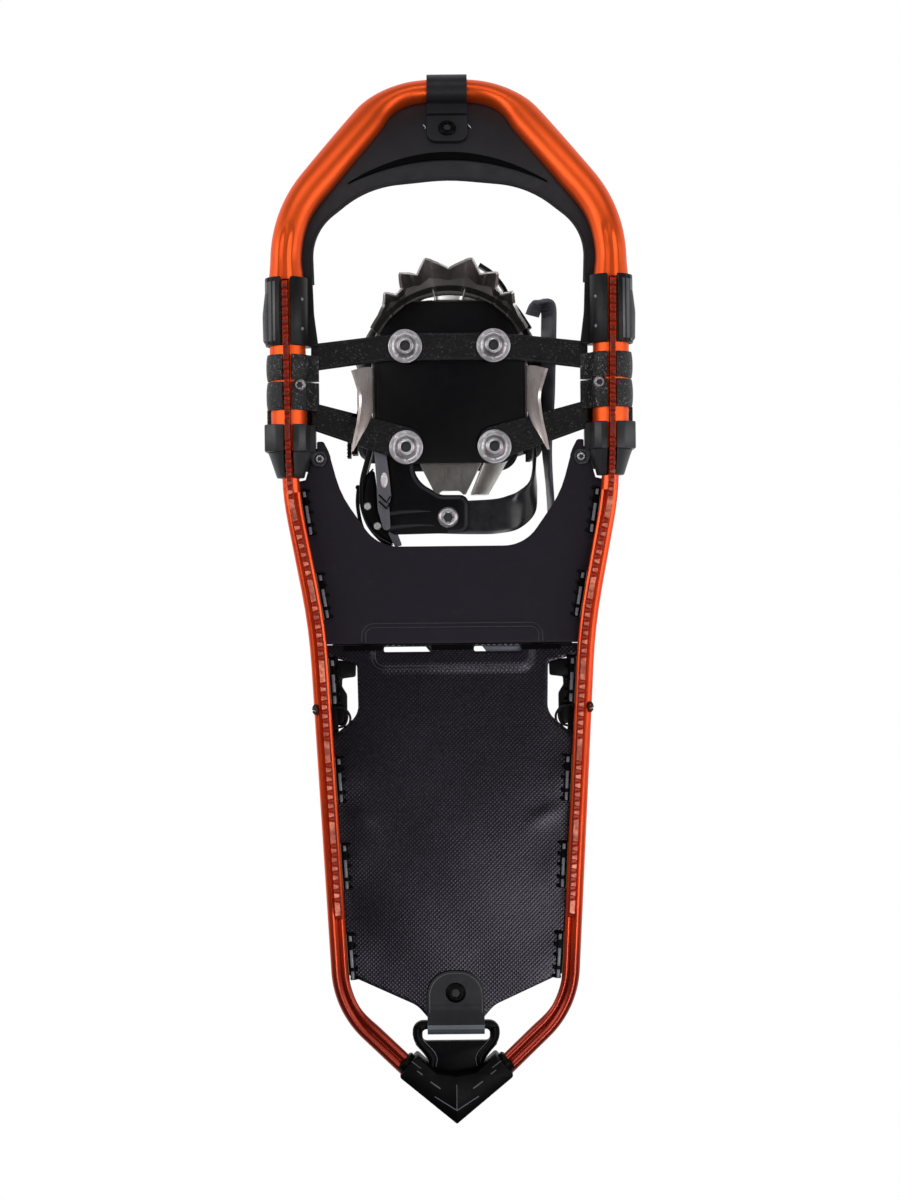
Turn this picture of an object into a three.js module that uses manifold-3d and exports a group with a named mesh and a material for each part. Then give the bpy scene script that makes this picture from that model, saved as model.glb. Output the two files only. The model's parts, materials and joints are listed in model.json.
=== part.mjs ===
// A mountain snowshoe for the right foot: a tubular nose hoop, two toothed rails, a clipped-on deck,
// and a binding with a toe crampon that hangs on suspension straps and pivots under the ball of the foot.
// Millimetres. +X is the wearer's right, +Y is forward, +Z is up, and the rail teeth stand on z = 0.
import * as THREE from "three";
import { mergeVertices } from "three/addons/utils/BufferGeometryUtils.js";
import Module from "manifold-3d";

const wasm = await Module();
wasm.setup();

// ---------------------------------------------------------------- driving dimensions
const LENGTH = 635;
const NOSE_Y = LENGTH / 2;
const TAIL_Y = -LENGTH / 2;
const GAP = 0.35; // air between pieces that touch

const AXIS_Z = 19; // height of the tube and rail centre lines
const TUBE_R = 9.3;
const TUBE_NOSE_HALF = 7.2; // half width of the tube where the nose bend flattens it
const TUBE_FORK_R = 10.8; // the thick slotted ends that slide over the rails
const TUBE_WALL = 2;
const SHOULDER = [97.6, 223.5];
const FORK_END = [96, 84];
const FORK_FRONT_Y = 186;
const NOSE_CENTRE_Y = 308.5;
const TUBE_LINE = [
  [...FORK_END, 0],
  [...SHOULDER, 80],
  [36, 304.5, 45],
  [0, NOSE_CENTRE_Y, 130],
  [-36, 304.5, 45],
  [-SHOULDER[0], SHOULDER[1], 80],
  [-FORK_END[0], FORK_END[1], 0],
];
const BEND_Y = 205; // the nose turns up ahead of this line
const NOSE_RISE = 38;

const BEAD_R = 5.2; // the round upper edge of each rail
const FIN_T = 3;
const TOOTH_PITCH = 5.3;
const TOOTH_DEPTH = 3.6;
const TEETH_IN_GROUP = 9;
const PLAIN_TEETH = 2; // pitches left plain at the end of each group
const FIN_REAR_Y = -198;

const DECK_Z = 21.4;
const DECK_T = 1.2;
const DECK_TOP = DECK_Z + DECK_T;
const SEAM_Y = -32; // where the front deck meets the rear deck

const BOLT_X = 26.5;
const FRONT_BOLT_Y = 146.6;
const REAR_BOLT_Y = 86;
const SHANK_R = 3;
const NUT_R = 6.5; // the dome nuts, sunk below the top of the footbed
const STRAP_Z = 21.5;
const STRAP_T = 2.2;
const STRAP_END_X = 78; // the straps' outer ends, beside the tube sleeves
const PLATE_Z = 24;
const PLATE_T = 2.5;
const STEEL_Z = 26.8;
const STEEL_T = 2;
const BED_Z = 29.1;
const BED_T = 4;

// ---------------------------------------------------------------- materials
const material = (color, roughness, metalness = 0) =>
  new THREE.MeshStandardMaterial({ color, roughness, metalness });
const orangeTube = material("#e2572b", 0.35, 0.7);
const orangeRail = material("#c8401c", 0.4, 0.6);
const blackPlastic = material("#1c1b1f", 0.45);
const blackSheet = material("#201f24", 0.6);
const webbing = material("#17171a", 0.9);
const zincSteel = material("#c9c7c4", 0.3, 1);
const darkSteel = material("#6d6660", 0.4, 1);
const greyStrap = material("#55565f", 0.55);

// ---------------------------------------------------------------- geometry helpers
const V2 = (x, y) => new THREE.Vector2(x, y);
const V3 = (x = 0, y = 0, z = 0) => new THREE.Vector3(x, y, z);
const mix = THREE.MathUtils.lerp;
const ease = THREE.MathUtils.smoothstep;
const radians = THREE.MathUtils.degToRad;
const ALONG_X = new THREE.Matrix4().makeBasis(V3(0, 1, 0), V3(0, 0, 1), V3(1, 0, 0));
const ALONG_Y = new THREE.Matrix4().makeBasis(V3(0, 0, 1), V3(1, 0, 0), V3(0, 1, 0));

/** The points of a line through corners [x, y, radius], each corner's arc in steps of degrees.
 * Points that repeat their neighbour, or lie on the straight line between two, are dropped. */
function outline(corners, step = 15) {
  const points = [];
  const corner = (i) => V2(...corners[(i + corners.length) % corners.length]);
  corners.forEach(([, , radius = 0], i) => {
    const here = corner(i);
    if (radius === 0) {
      points.push(here);
      return;
    }
    const before = corner(i - 1).sub(here).normalize();
    const after = corner(i + 1).sub(here).normalize();
    const half = Math.acos(before.dot(after)) / 2;
    const middle = before.clone().add(after).normalize();
    const centre = here.clone().addScaledVector(middle, radius / Math.sin(half));
    const start = here.clone().addScaledVector(before, radius / Math.tan(half));
    const sweep = -Math.sign(before.cross(after)) * (Math.PI - 2 * half);
    const steps = Math.max(1, Math.round(Math.abs(sweep) / radians(step)));
    for (let k = 0; k <= steps; k++) {
      points.push(start.clone().rotateAround(centre, (sweep * k) / steps));
    }
  });
  const apart = points.filter((point, i) => point.distanceTo(points.at(i - 1)) > 0.05);
  return apart.filter((point, i) => {
    const before = apart.at(i - 1).clone().sub(point);
    const after = apart[(i + 1) % apart.length].clone().sub(point);
    return Math.abs(before.cross(after)) > 1e-4;
  });
}

/** Half an outline and its mirror image in X, as one closed run of corners. */
function mirrored(corners) {
  const other = corners.map(([x, y, radius = 0]) => [-x, y, radius]).reverse();
  return [...corners, ...other];
}

/** The points of a circle. */
function circle(x, y, radius, sides = 16) {
  const turn = (i) => (2 * Math.PI * i) / sides;
  return Array.from({ length: sides }, (_, i) =>
    V2(x + radius * Math.cos(turn(i)), y + radius * Math.sin(turn(i))),
  );
}

/** A line with points added so that no step is longer than the longest. */
function resample(points, longest) {
  return points.flatMap((point, i) => {
    if (i === 0) return [point];
    const from = points[i - 1];
    const steps = Math.ceil(from.distanceTo(point) / longest);
    return Array.from({ length: steps }, (_, k) => from.clone().lerp(point, (k + 1) / steps));
  });
}

/** A closed mesh from points and faces. */
function closedMesh(points, faces) {
  return new THREE.BufferGeometry().setFromPoints(points).setIndex(faces.flat());
}

/** A solid through rings of points, capped with the flat section that the rings share. */
function loft(rings, section) {
  const size = section.length;
  const faces = [];
  for (let k = 0; k < rings.length - 1; k++) {
    for (let i = 0; i < size; i++) {
      const a = k * size + i;
      const b = k * size + ((i + 1) % size);
      faces.push([a, b, b + size], [a, b + size, a + size]);
    }
  }
  const turn = Math.sign(THREE.ShapeUtils.area(section));
  const last = (rings.length - 1) * size;
  for (const [p, q, r] of THREE.ShapeUtils.triangulateShape(section, [])) {
    const way = Math.sign(THREE.ShapeUtils.area([section[p], section[q], section[r]]));
    const [s, t] = way === turn ? [q, r] : [r, q];
    faces.push([p, t, s], [last + p, last + s, last + t]);
  }
  return closedMesh(rings.flat(), faces);
}

/** A solid between two grids of points, such as the two faces of a bent sheet. */
function between(front, back) {
  const rows = front.length - 1;
  const columns = front[0].length - 1;
  const at = (side, r, c) => (side * (rows + 1) + r) * (columns + 1) + c;
  const faces = [];
  const quad = (a, b, c, d) => faces.push([a, b, c], [a, c, d]);
  for (let r = 0; r < rows; r++) {
    for (let c = 0; c < columns; c++) {
      quad(at(0, r, c), at(0, r, c + 1), at(0, r + 1, c + 1), at(0, r + 1, c));
      quad(at(1, r, c), at(1, r + 1, c), at(1, r + 1, c + 1), at(1, r, c + 1));
    }
    quad(at(0, r, 0), at(0, r + 1, 0), at(1, r + 1, 0), at(1, r, 0));
    quad(at(0, r + 1, columns), at(0, r, columns), at(1, r, columns), at(1, r + 1, columns));
  }
  for (let c = 0; c < columns; c++) {
    quad(at(0, 0, c + 1), at(0, 0, c), at(1, 0, c), at(1, 0, c + 1));
    quad(at(0, rows, c), at(0, rows, c + 1), at(1, rows, c + 1), at(1, rows, c));
  }
  return closedMesh([...front.flat(), ...back.flat()], faces);
}

/** A bent sheet: a grid of points given a thickness, half on each side. */
function sheet(grid, thickness) {
  const moved = (side) =>
    grid.map((row, r) =>
      row.map((point, c) => {
        const above = grid[Math.max(r - 1, 0)][c];
        const below = grid[Math.min(r + 1, grid.length - 1)][c];
        const left = row[Math.max(c - 1, 0)];
        const right = row[Math.min(c + 1, row.length - 1)];
        const normal = below.clone().sub(above).cross(right.clone().sub(left)).normalize();
        return point.clone().addScaledVector(normal, (side * thickness) / 2);
      }),
    );
  return between(moved(1), moved(-1));
}

/** A band along stations {at: [x, y, z], across: [x, y, z]}, where across spans the band's width. */
function band(stations, thickness) {
  const grid = stations.map(({ at, across }) => {
    const half = V3(...across).multiplyScalar(0.5);
    return [V3(...at).sub(half), V3(...at).add(half)];
  });
  return sheet(grid, thickness);
}

/** A flat plate of the given outline between two heights. */
function plate(points, low, high) {
  const settings = { depth: high - low, bevelEnabled: false };
  return new THREE.ExtrudeGeometry(new THREE.Shape(points), settings).translate(0, 0, low);
}

/** A flat plate with holes of the given outlines. */
function drilled(points, low, high, holes) {
  return cut(plate(points, low, high), ...holes.map((hole) => plate(hole, low - 1, high + 1)));
}

/** A turned piece: a profile of [radius, height] that starts and ends on the axis. */
function turned(profile, sides = 16) {
  return new THREE.LatheGeometry(
    profile.map(([radius, height]) => V2(radius, height)),
    sides,
  );
}

/** A turned piece that stands along Z at a place. */
function pin(profile, [x, y, z], sides) {
  return turned(profile, sides).rotateX(Math.PI / 2).translate(x, y, z);
}

/** A dome-headed rivet whose head faces down and whose shank points up. */
function rivet([x, y, z], headR, headT, shankR, shankT) {
  const dome = [
    [0, 0],
    [headR * 0.6, 0],
    [headR * 0.92, headT * 0.4],
    [headR, headT],
    [shankR, headT],
    [shankR, headT + shankT],
    [0, headT + shankT],
  ];
  return pin(dome, [x, y, z], 12);
}

/** A round tool that cuts a hole along Z from one height to another. */
function bore([x, y], radius, low, high) {
  return pin([[0, low], [radius, low], [radius, high], [0, high]], [x, y, 0], 12);
}

/** A round wire along points. */
function wire(points, radius, sides = 8) {
  const section = circle(0, 0, 1, sides);
  const rings = points.map((point, i) => {
    const ahead = points[Math.min(i + 1, points.length - 1)];
    const behind = points[Math.max(i - 1, 0)];
    const along = ahead.clone().sub(behind).normalize();
    const side = Math.abs(along.z) > 0.9 ? V3(1, 0, 0) : V3(0, 0, 1);
    const u = side.clone().cross(along).normalize();
    const v = along.clone().cross(u);
    return section.map(({ x, y }) =>
      point.clone().addScaledVector(u, x * radius).addScaledVector(v, y * radius),
    );
  });
  return loft(rings, section);
}

/** A box between two corners. */
function box([x0, y0, z0], [x1, y1, z1]) {
  const geometry = new THREE.BoxGeometry(x1 - x0, y1 - y0, z1 - z0);
  return geometry.translate((x0 + x1) / 2, (y0 + y1) / 2, (z0 + z1) / 2);
}

/** A closed mesh as a solid that can be joined and cut, with its faces turned outwards. */
function solid(geometry) {
  const bare = new THREE.BufferGeometry();
  bare.setAttribute("position", geometry.getAttribute("position"));
  bare.setIndex(geometry.index);
  const merged = mergeVertices(bare, 1e-4);
  const position = merged.getAttribute("position");
  const corner = (i) => V3().fromBufferAttribute(position, i);
  const faces = [];
  let volume = 0;
  for (let i = 0; i < merged.index.count; i += 3) {
    const [a, b, c] = [0, 1, 2].map((k) => merged.index.getX(i + k));
    if (a === b || b === c || c === a) continue;
    volume += corner(a).dot(corner(b).cross(corner(c)));
    faces.push([a, b, c]);
  }
  const outward = faces.flatMap(([a, b, c]) => (volume > 0 ? [a, b, c] : [a, c, b]));
  const triVerts = Uint32Array.from(outward);
  const mesh = new wasm.Mesh({ numProp: 3, vertProperties: position.array, triVerts });
  return new wasm.Manifold(mesh);
}

const join = (...pieces) => pieces.map(asSolid).reduce((all, piece) => all.add(piece));
const cut = (piece, ...tools) =>
  tools.map(asSolid).reduce((left, tool) => left.subtract(tool), asSolid(piece));
const common = (piece, other) => asSolid(piece).intersect(asSolid(other));

/** A solid from a geometry, or the solid itself. */
function asSolid(piece) {
  return piece.isBufferGeometry ? solid(piece) : piece;
}

/** A flat-shaded geometry from a solid. */
function faceted(piece) {
  const { vertProperties, triVerts } = piece.getMesh();
  const geometry = new THREE.BufferGeometry();
  geometry.setAttribute("position", new THREE.BufferAttribute(vertProperties, 3));
  geometry.setIndex(new THREE.BufferAttribute(triVerts, 1));
  const flat = geometry.toNonIndexed();
  flat.computeVertexNormals();
  return flat;
}

/** A named mesh of a solid or a geometry. */
function part(name, piece, look) {
  const mesh = new THREE.Mesh(faceted(asSolid(piece)), look);
  mesh.name = name;
  return mesh;
}

/** The same piece on the right and, mirrored, on the left. */
function pair(name, piece, look) {
  const right = part(`${name}_right`, piece, look);
  const left = part(`${name}_left`, piece, look);
  left.scale.x = -1;
  return [right, left];
}

// ---------------------------------------------------------------- frame lines

/** How far the nose is turned up at a place along the shoe. */
function rise(y) {
  const share = Math.max(0, (y - BEND_Y) / (NOSE_CENTRE_Y - BEND_Y));
  return NOSE_RISE * share ** 1.7;
}

/** The X of the straight side of the tube, which the rail's front end shares. */
function sideX(y) {
  const share = (y - FORK_END[1]) / (SHOULDER[1] - FORK_END[1]);
  return mix(FORK_END[0], SHOULDER[0], share);
}

const RAIL_LINE = [
  [sideX(FORK_FRONT_Y), FORK_FRONT_Y],
  [sideX(59), 59, 200],
  [80.5, -21.4, 350],
  [68, -248.7, 55],
  [14, -300.5],
];
const railPoints = outline(RAIL_LINE, 6);

/** The place on the right rail's centre line at a given Y. */
function railX(y) {
  if (y > FORK_FRONT_Y - 1) return sideX(y);
  const next = railPoints.findIndex((point) => point.y < y);
  const [from, to] = [railPoints[next - 1], railPoints[next]];
  return mix(from.x, to.x, (from.y - y) / (from.y - to.y));
}

const FIN_SHIFT = 3.3; // how far the fin stands inside the bead's centre line behind the clamps

/** The X of the right fin's middle: under the bead in the clamps, and further in behind them. */
const finX = (y) => railX(y) - FIN_SHIFT * (1 - ease(y, 0, CONE_REAR_Y - 4));

/** Rings round the tube's centre line, with its half width and half height at each place. */
function tubeRings(section, halfWidth, halfHeight, overrun = 0) {
  const plan = resample(outline(TUBE_LINE, 11), 22);
  plan[0].y -= overrun;
  plan.at(-1).y -= overrun;
  return plan.map((point, i) => {
    const ahead = plan[Math.min(i + 1, plan.length - 1)];
    const behind = plan[Math.max(i - 1, 0)];
    const climb = rise(ahead.y) - rise(behind.y);
    const along = V3(ahead.x - behind.x, ahead.y - behind.y, climb).normalize();
    const out = V3(along.y, -along.x, 0).normalize();
    const up = out.clone().cross(along);
    const centre = V3(point.x, point.y, AXIS_Z + rise(point.y));
    return section.map(({ x, y }) =>
      centre
        .clone()
        .addScaledVector(out, x * halfWidth(point.y))
        .addScaledVector(up, y * halfHeight(point.y)),
    );
  });
}

const forkGrowth = (y) => (TUBE_FORK_R - TUBE_R) * (1 - ease(y, 180, 200));
const tubeHalfWidth = (y) =>
  TUBE_R + forkGrowth(y) - (TUBE_R - TUBE_NOSE_HALF) * ease(y, 286, 307);
const tubeHalfHeight = (y) => TUBE_R + forkGrowth(y);

/** The tube's outer shape, grown by a margin. */
function tubeBody(margin = 0) {
  const section = circle(0, 0, 1, 14);
  const rings = tubeRings(
    section,
    (y) => tubeHalfWidth(y) + margin,
    (y) => tubeHalfHeight(y) + margin,
    margin,
  );
  return loft(rings, section);
}

/** The rail's round upper edge, grown by a margin. */
function railBead(margin = 0) {
  const section = circle(0, 0, 1, 12);
  const rings = railPoints.map((point, i) => {
    const ahead = railPoints[Math.min(i + 1, railPoints.length - 1)];
    const behind = railPoints[Math.max(i - 1, 0)];
    const along = ahead.clone().sub(behind).normalize();
    return section.map(({ x, y }) =>
      V3(
        point.x - along.y * x * (BEAD_R + margin),
        point.y + along.x * x * (BEAD_R + margin),
        AXIS_Z + y * (BEAD_R + margin),
      ),
    );
  });
  return loft(rings, section);
}

/** Stations along the fin: plain stretches and teeth, in groups. */
function finStations() {
  const stations = [];
  const count = Math.floor((FORK_FRONT_Y - FIN_REAR_Y) / TOOTH_PITCH);
  for (let k = 0; k <= count; k++) {
    const y = FORK_FRONT_Y - k * TOOTH_PITCH;
    stations.push({ y, low: k === 0 || k === count ? AXIS_Z - BEAD_R : 0 });
    const plain = k % TEETH_IN_GROUP >= TEETH_IN_GROUP - PLAIN_TEETH;
    if (!plain && k < count) stations.push({ y: y - TOOTH_PITCH / 2, low: TOOTH_DEPTH });
  }
  return stations;
}

/** The fin under the rail's bead, with the fin's thickness and lower edge grown by a margin. */
function railFin(stations, thickness) {
  const section = [V2(-1, 0), V2(1, 0), V2(1, 1), V2(-1, 1)];
  const rings = stations.map(({ y, low }) =>
    section.map((corner) =>
      V3(finX(y) + (corner.x * thickness) / 2, y, corner.y ? AXIS_Z : low),
    ),
  );
  return loft(rings, section);
}

const FIN_ROOM = 1.4; // beside the fin in the clamps, which are open below

/** The slot that a fin needs in the pieces round the tube's slotted end. */
function finSlot(frontY, rearY, margin = GAP) {
  const ends = [frontY, rearY].map((y) => V3(sideX(y), y, 0));
  const half = FIN_T / 2 + margin;
  const section = [V2(-half, -1), V2(half, -1), V2(half, AXIS_Z), V2(-half, AXIS_Z)];
  return loft(
    ends.map((end) => section.map(({ x, y }) => V3(end.x + x, end.y, y))),
    section,
  );
}

/** The mirror image of a closed mesh in X. */
const mirrorImage = (geometry) => geometry.clone().scale(-1, 1, 1);

// ---------------------------------------------------------------- frame parts

/** The nose hoop: a bent tube whose ends are bored and slotted for the rails. */
function frontTube() {
  const section = circle(0, 0, 1, 10);
  const bored = (half) => (y) => (y < FORK_FRONT_Y + 3 ? BEAD_R + 2 * GAP : half(y) - TUBE_WALL);
  const bore = loft(tubeRings(section, bored(tubeHalfWidth), bored(tubeHalfHeight), 1), section);
  const slot = finSlot(FORK_FRONT_Y + 2, FORK_END[1] - 2);
  return cut(tubeBody(), bore, slot, mirrorImage(slot));
}

/** A toothed rail: a round bead with a fin below it. */
function rail() {
  return join(railBead(), railFin(finStations(), FIN_T));
}

// Each clamp or wrap on the tube is a section in XZ drawn for the right side, run along the tube.
const alongTube = (section, rearY, frontY) =>
  plate(section.map(({ x, y }) => V2(y, x)), rearY, frontY).applyMatrix4(ALONG_Y);

const COLLAR_R = 13;
const COLLAR_FRONT_Y = 187.4;
const COLLAR_REAR_Y = 146.6;
const COLLAR_INNER_X = 80.5;

/** The clamp that joins the tube, the nose deck's side arm and the rail's front end. */
function frontCollar() {
  const x = sideX((COLLAR_FRONT_Y + COLLAR_REAR_Y) / 2);
  const ring = alongTube(circle(x, AXIS_Z, COLLAR_R, 20), COLLAR_REAR_Y, COLLAR_FRONT_Y);
  const flange = box([COLLAR_INNER_X, COLLAR_REAR_Y, 20], [x, COLLAR_FRONT_Y, 28]);
  const rib = box([x + 9, COLLAR_REAR_Y + 1, 12], [x + 14.2, COLLAR_FRONT_Y - 9, 26]);
  const finRoom = finSlot(COLLAR_FRONT_Y + 1, COLLAR_REAR_Y - 1, FIN_ROOM);
  return cut(join(ring, flange, rib), tubeBody(GAP), finRoom);
}

const CLAMP_FRONT_Y = 99.6;
const CLAMP_REAR_Y = 83.4;
const CONE_REAR_Y = 68;
const CORNER_RIVET = [78.4, 79.5];
const CORNER_SHANK_R = 2;

/** The clamp and cone that close the tube's end round the rail and hold the deck's front corner. */
function rearCollar() {
  const x = sideX(CLAMP_REAR_Y);
  const block = outline(
    [
      [x + 14.5, 10, 4],
      [x + 14.5, 31, 6],
      [80.5, 31, 2],
      [80.5, 20, 1],
      [x - 12, 6, 8],
      [x + 8, 6, 8],
    ],
    30,
  );
  const clamp = alongTube(block, CLAMP_REAR_Y, CLAMP_FRONT_Y);
  const section = circle(0, 0, 1, 16);
  const cone = loft(
    [[CLAMP_REAR_Y + 0.5, 13], [CONE_REAR_Y, 8]].map(([y, radius]) =>
      section.map((p) => V3(railX(y) + p.x * radius, y, AXIS_Z + p.y * radius)),
    ),
    section,
  );
  const flange = plate(
    outline([[90, 86, 0], [90, 72, 0], [72, 72, 6], [72, 86, 6]], 30),
    DECK_TOP + GAP,
    DECK_TOP + 3,
  );
  const finRoom = finSlot(CLAMP_FRONT_Y + 1, CONE_REAR_Y - 2, FIN_ROOM);
  const room = [tubeBody(GAP), railBead(GAP), finRoom];
  const rivetRoom = bore(CORNER_RIVET, CORNER_SHANK_R + GAP, DECK_TOP - 1, DECK_TOP + 5);
  return cut(join(clamp, cone, flange), ...room, rivetRoom);
}

const SLEEVE_FRONT_Y = 141.2;
const SLEEVE_REAR_Y = 108.2;
const SLEEVE_RIVET = [88.8, 122.6];
const SLEEVE_HEAD_R = 3.7;
const SLEEVE_SHANK_R = 2.2;
const angleFrom = (x, point) => Math.atan2(point.y - AXIS_Z, point.x - x);

/** The strap wrap on the tube: a teardrop whose tail holds the suspension straps. */
function sleeve() {
  const x = sideX(SLEEVE_REAR_Y);
  const tail = [V2(78.4, 24.5), V2(78.4, 12)];
  const round = circle(x, AXIS_Z, 13.4, 20).filter((p) => p.x > x - 6);
  const wrapped = [...tail, ...round.sort((a, b) => angleFrom(x, a) - angleFrom(x, b))];
  const lower = alongTube(wrapped, SLEEVE_REAR_Y, SLEEVE_FRONT_Y);
  const upper = common(
    alongTube(wrapped, CLAMP_FRONT_Y + GAP, SLEEVE_REAR_Y + 0.5),
    box([70, 90, 20.5], [120, 120, 40]),
  );
  const headRoom = bore(SLEEVE_RIVET, SLEEVE_HEAD_R + GAP, 0, 7.4);
  const shankRoom = bore(SLEEVE_RIVET, SLEEVE_SHANK_R + GAP, 7, 16);
  const finRoom = finSlot(SLEEVE_FRONT_Y + 1, SLEEVE_REAR_Y - 12, FIN_ROOM);
  return cut(join(lower, upper), tubeBody(GAP), finRoom, headRoom, shankRoom);
}

const DECK_EDGE = BEAD_R + 0.5; // from the rail's centre line to the deck's edge
const NOSE_DECK_Z = 2.4; // the nose deck's underside over the tube's centre line
const NOSE_DECK_T = 1.6;

/** The moulded deck that fills the turned-up nose, with an arm down each side to the collar. */
function noseDeck() {
  const edge = outline(TUBE_LINE, 11);
  const plan = resample(edge, 14).filter((point) => point.y > COLLAR_FRONT_Y + GAP);
  const outer = plan.map((point, i) => {
    const ahead = plan[Math.min(i + 1, plan.length - 1)];
    const behind = plan[Math.max(i - 1, 0)];
    const along = ahead.clone().sub(behind).normalize();
    const inset = tubeHalfWidth(point.y) + GAP;
    return V2(point.x - along.y * inset, point.y + along.x * inset);
  });
  const opening = resample(outline(NOSE_OPENING, 12), 4);
  const rows = outer.map((point, i) => {
    const inner = opening[Math.round((i * (opening.length - 1)) / (outer.length - 1))];
    return [0, 0.33, 0.67, 1].map((share) => point.clone().lerp(inner, share));
  });
  const lifted = (height) =>
    rows.map((row) => row.map(({ x, y }) => V3(x, y, AXIS_Z + rise(y) + height)));
  return between(lifted(NOSE_DECK_Z), lifted(NOSE_DECK_Z + NOSE_DECK_T));
}

const NOSE_OPENING = [
  [79.8, COLLAR_FRONT_Y + GAP, 0],
  [81.5, 216, 34],
  [48, 244, 60],
  [0, 248.5, 110],
  [-48, 244, 60],
  [-81.5, 216, 34],
  [-79.8, COLLAR_FRONT_Y + GAP, 0],
];

const NOSE_STRAP_HALF = 12.3;
const NOSE_STRAP_T = 2;
const NOSE_RIVET_Y = 280.5;
const NOSE_SHANK_R = 2;
const noseDeckZ = (y) => AXIS_Z + rise(y) + NOSE_DECK_Z;

/** A turned piece square to the sloping nose deck, with its height measured from the deck's underside. */
function onNoseSlope(profile) {
  const slope = Math.atan2(noseDeckZ(NOSE_RIVET_Y + 5) - noseDeckZ(NOSE_RIVET_Y - 5), 10);
  const piece = pin(profile, [0, 0, 0], 12).rotateX(slope);
  return piece.translate(0, NOSE_RIVET_Y, noseDeckZ(NOSE_RIVET_Y));
}

/** A tool that cuts the nose rivet's hole. */
function noseHole() {
  const radius = NOSE_SHANK_R + GAP;
  return onNoseSlope([[0, -9], [radius, -9], [radius, 12], [0, 12]]);
}

/** The nose strap's rivet, through both leaves and the deck. */
function noseRivet() {
  const head = -GAP - NOSE_STRAP_T - 0.5;
  return onNoseSlope([
    [0, head - 1.8],
    [3.4, head - 1.8],
    [5.2, head - 0.8],
    [5.4, head],
    [NOSE_SHANK_R, head],
    [NOSE_SHANK_R, 6],
    [0, 6],
  ]);
}

/** The strap that holds the nose deck: round the tube and back along both faces of the deck. */
function noseStrap() {
  const tubeY = outline(TUBE_LINE, 11).reduce((most, point) => Math.max(most, point.y), 0);
  const tubeZ = AXIS_Z + rise(tubeY);
  const oval = (grow) =>
    circle(0, 0, 1, 24).map(({ x, y }) =>
      V2(tubeY + x * (TUBE_NOSE_HALF + grow), tubeZ + y * (TUBE_R + grow)),
    );
  const across = (points) => plate(points, -NOSE_STRAP_HALF, NOSE_STRAP_HALF).applyMatrix4(ALONG_X);
  const outerGrow = NOSE_Y - tubeY - TUBE_NOSE_HALF;
  const ring = across(oval(outerGrow));
  const leafY = [272.5, 281, 290, 301];
  const leaf = (low, high) => [
    ...leafY.map((y) => V2(y, noseDeckZ(y) + low)),
    ...leafY.toReversed().map((y) => V2(y, noseDeckZ(y) + high)),
  ];
  const under = across(leaf(-GAP - NOSE_STRAP_T, -GAP));
  const over = across(leaf(NOSE_DECK_T + GAP, NOSE_DECK_T + GAP + NOSE_STRAP_T));
  const tab = mirrored([[NOSE_STRAP_HALF, 330, 0], [NOSE_STRAP_HALF, leafY[0], 6]]);
  const plan = plate(outline(tab), 0, 90);
  const deckRoom = across(leaf(-GAP, NOSE_DECK_T + GAP));
  const wrapped = cut(join(ring, under, over), across(oval(GAP)), deckRoom, noseHole());
  return common(wrapped, plan);
}

// The deck follows the rails, so its side edges are sampled from the rail's centre line.
const deckEdge = (fromY, toY) =>
  [0, 0.2, 0.4, 0.6, 0.8, 1].map((share) => {
    const y = mix(fromY, toY, share);
    return [railX(y) - DECK_EDGE, y, 0];
  });

const TAIL_RIVET = [0, -241];
const TAIL_SHANK_R = 2.4;
const SLOT = { inner: 13, outer: 41, front: -33.6, rear: -36.6 };

/** The front deck, open behind the binding so that the boot's heel strap and the binding can move. */
function frontDeck() {
  const half = [
    [0, 26.6, 0],
    [44, 26.6, 24],
    [66, 58, 60],
    [73, 84, 3],
    [76, 90, 2],
    [80, 90, 1],
    [80, 83, 0],
    [82.4, 82.4, 0],
    [87, 67, 0],
    ...deckEdge(66, SEAM_Y + 6),
    [railX(SEAM_Y) - DECK_EDGE - 4, SEAM_Y + GAP / 2, 3],
  ];
  const corners = outline(mirrored(half), 15);
  const holes = [1, -1].map((side) => circle(side * CORNER_RIVET[0], CORNER_RIVET[1], 2 + GAP, 12));
  return drilled(corners, DECK_Z, DECK_TOP, holes);
}

/** The rear deck, with two slots behind the seam, a notch in each side and a tongue at the tail. */
function rearDeck() {
  const half = [
    [0, SEAM_Y - GAP / 2, 0],
    [railX(SEAM_Y) - DECK_EDGE - 4, SEAM_Y - GAP / 2, 2],
    [railX(-39) - DECK_EDGE, -39, 0],
    [57.3, -43.6, 3],
    [56.7, -74, 12],
    [railX(-88) - DECK_EDGE, -88, 0],
    ...deckEdge(-88, -226),
    [railX(-229) - DECK_EDGE, -229.5, 3],
    [23, -249, 16],
    [16.5, -256.6, 2],
  ];
  const slot = (side) =>
    outline(
      [
        [side * SLOT.inner, SLOT.front, 1],
        [side * SLOT.outer, SLOT.front, 1],
        [side * SLOT.outer, SLOT.rear, 1],
        [side * SLOT.inner, SLOT.rear, 1],
      ],
      45,
    );
  const holes = [slot(1), slot(-1), circle(...TAIL_RIVET, TAIL_SHANK_R + GAP, 12)];
  return drilled(outline(mirrored(half), 15), DECK_Z, DECK_TOP, holes);
}

/** The tail tab's rivet. */
function tailRivet() {
  return rivet([...TAIL_RIVET, DECK_Z - 2 * GAP - 3.4], 6, 1.8, TAIL_SHANK_R, 7);
}

/** A rivet through a front corner of the deck. */
function cornerRivet() {
  return rivet([...CORNER_RIVET, DECK_Z - GAP - 1.2], 2.9, 1.2, CORNER_SHANK_R, 6);
}

/** A rivet in a sleeve's lower leaf. */
function sleeveRivet() {
  return rivet([...SLEEVE_RIVET, 5.4], SLEEVE_HEAD_R, 1.6, SLEEVE_SHANK_R, 2.2);
}

const CLIPS = [47, -3, -54, -113, -165, -219];
const CLIP_LENGTH = 26;
const CLIP_Z = 17.8;

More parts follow.
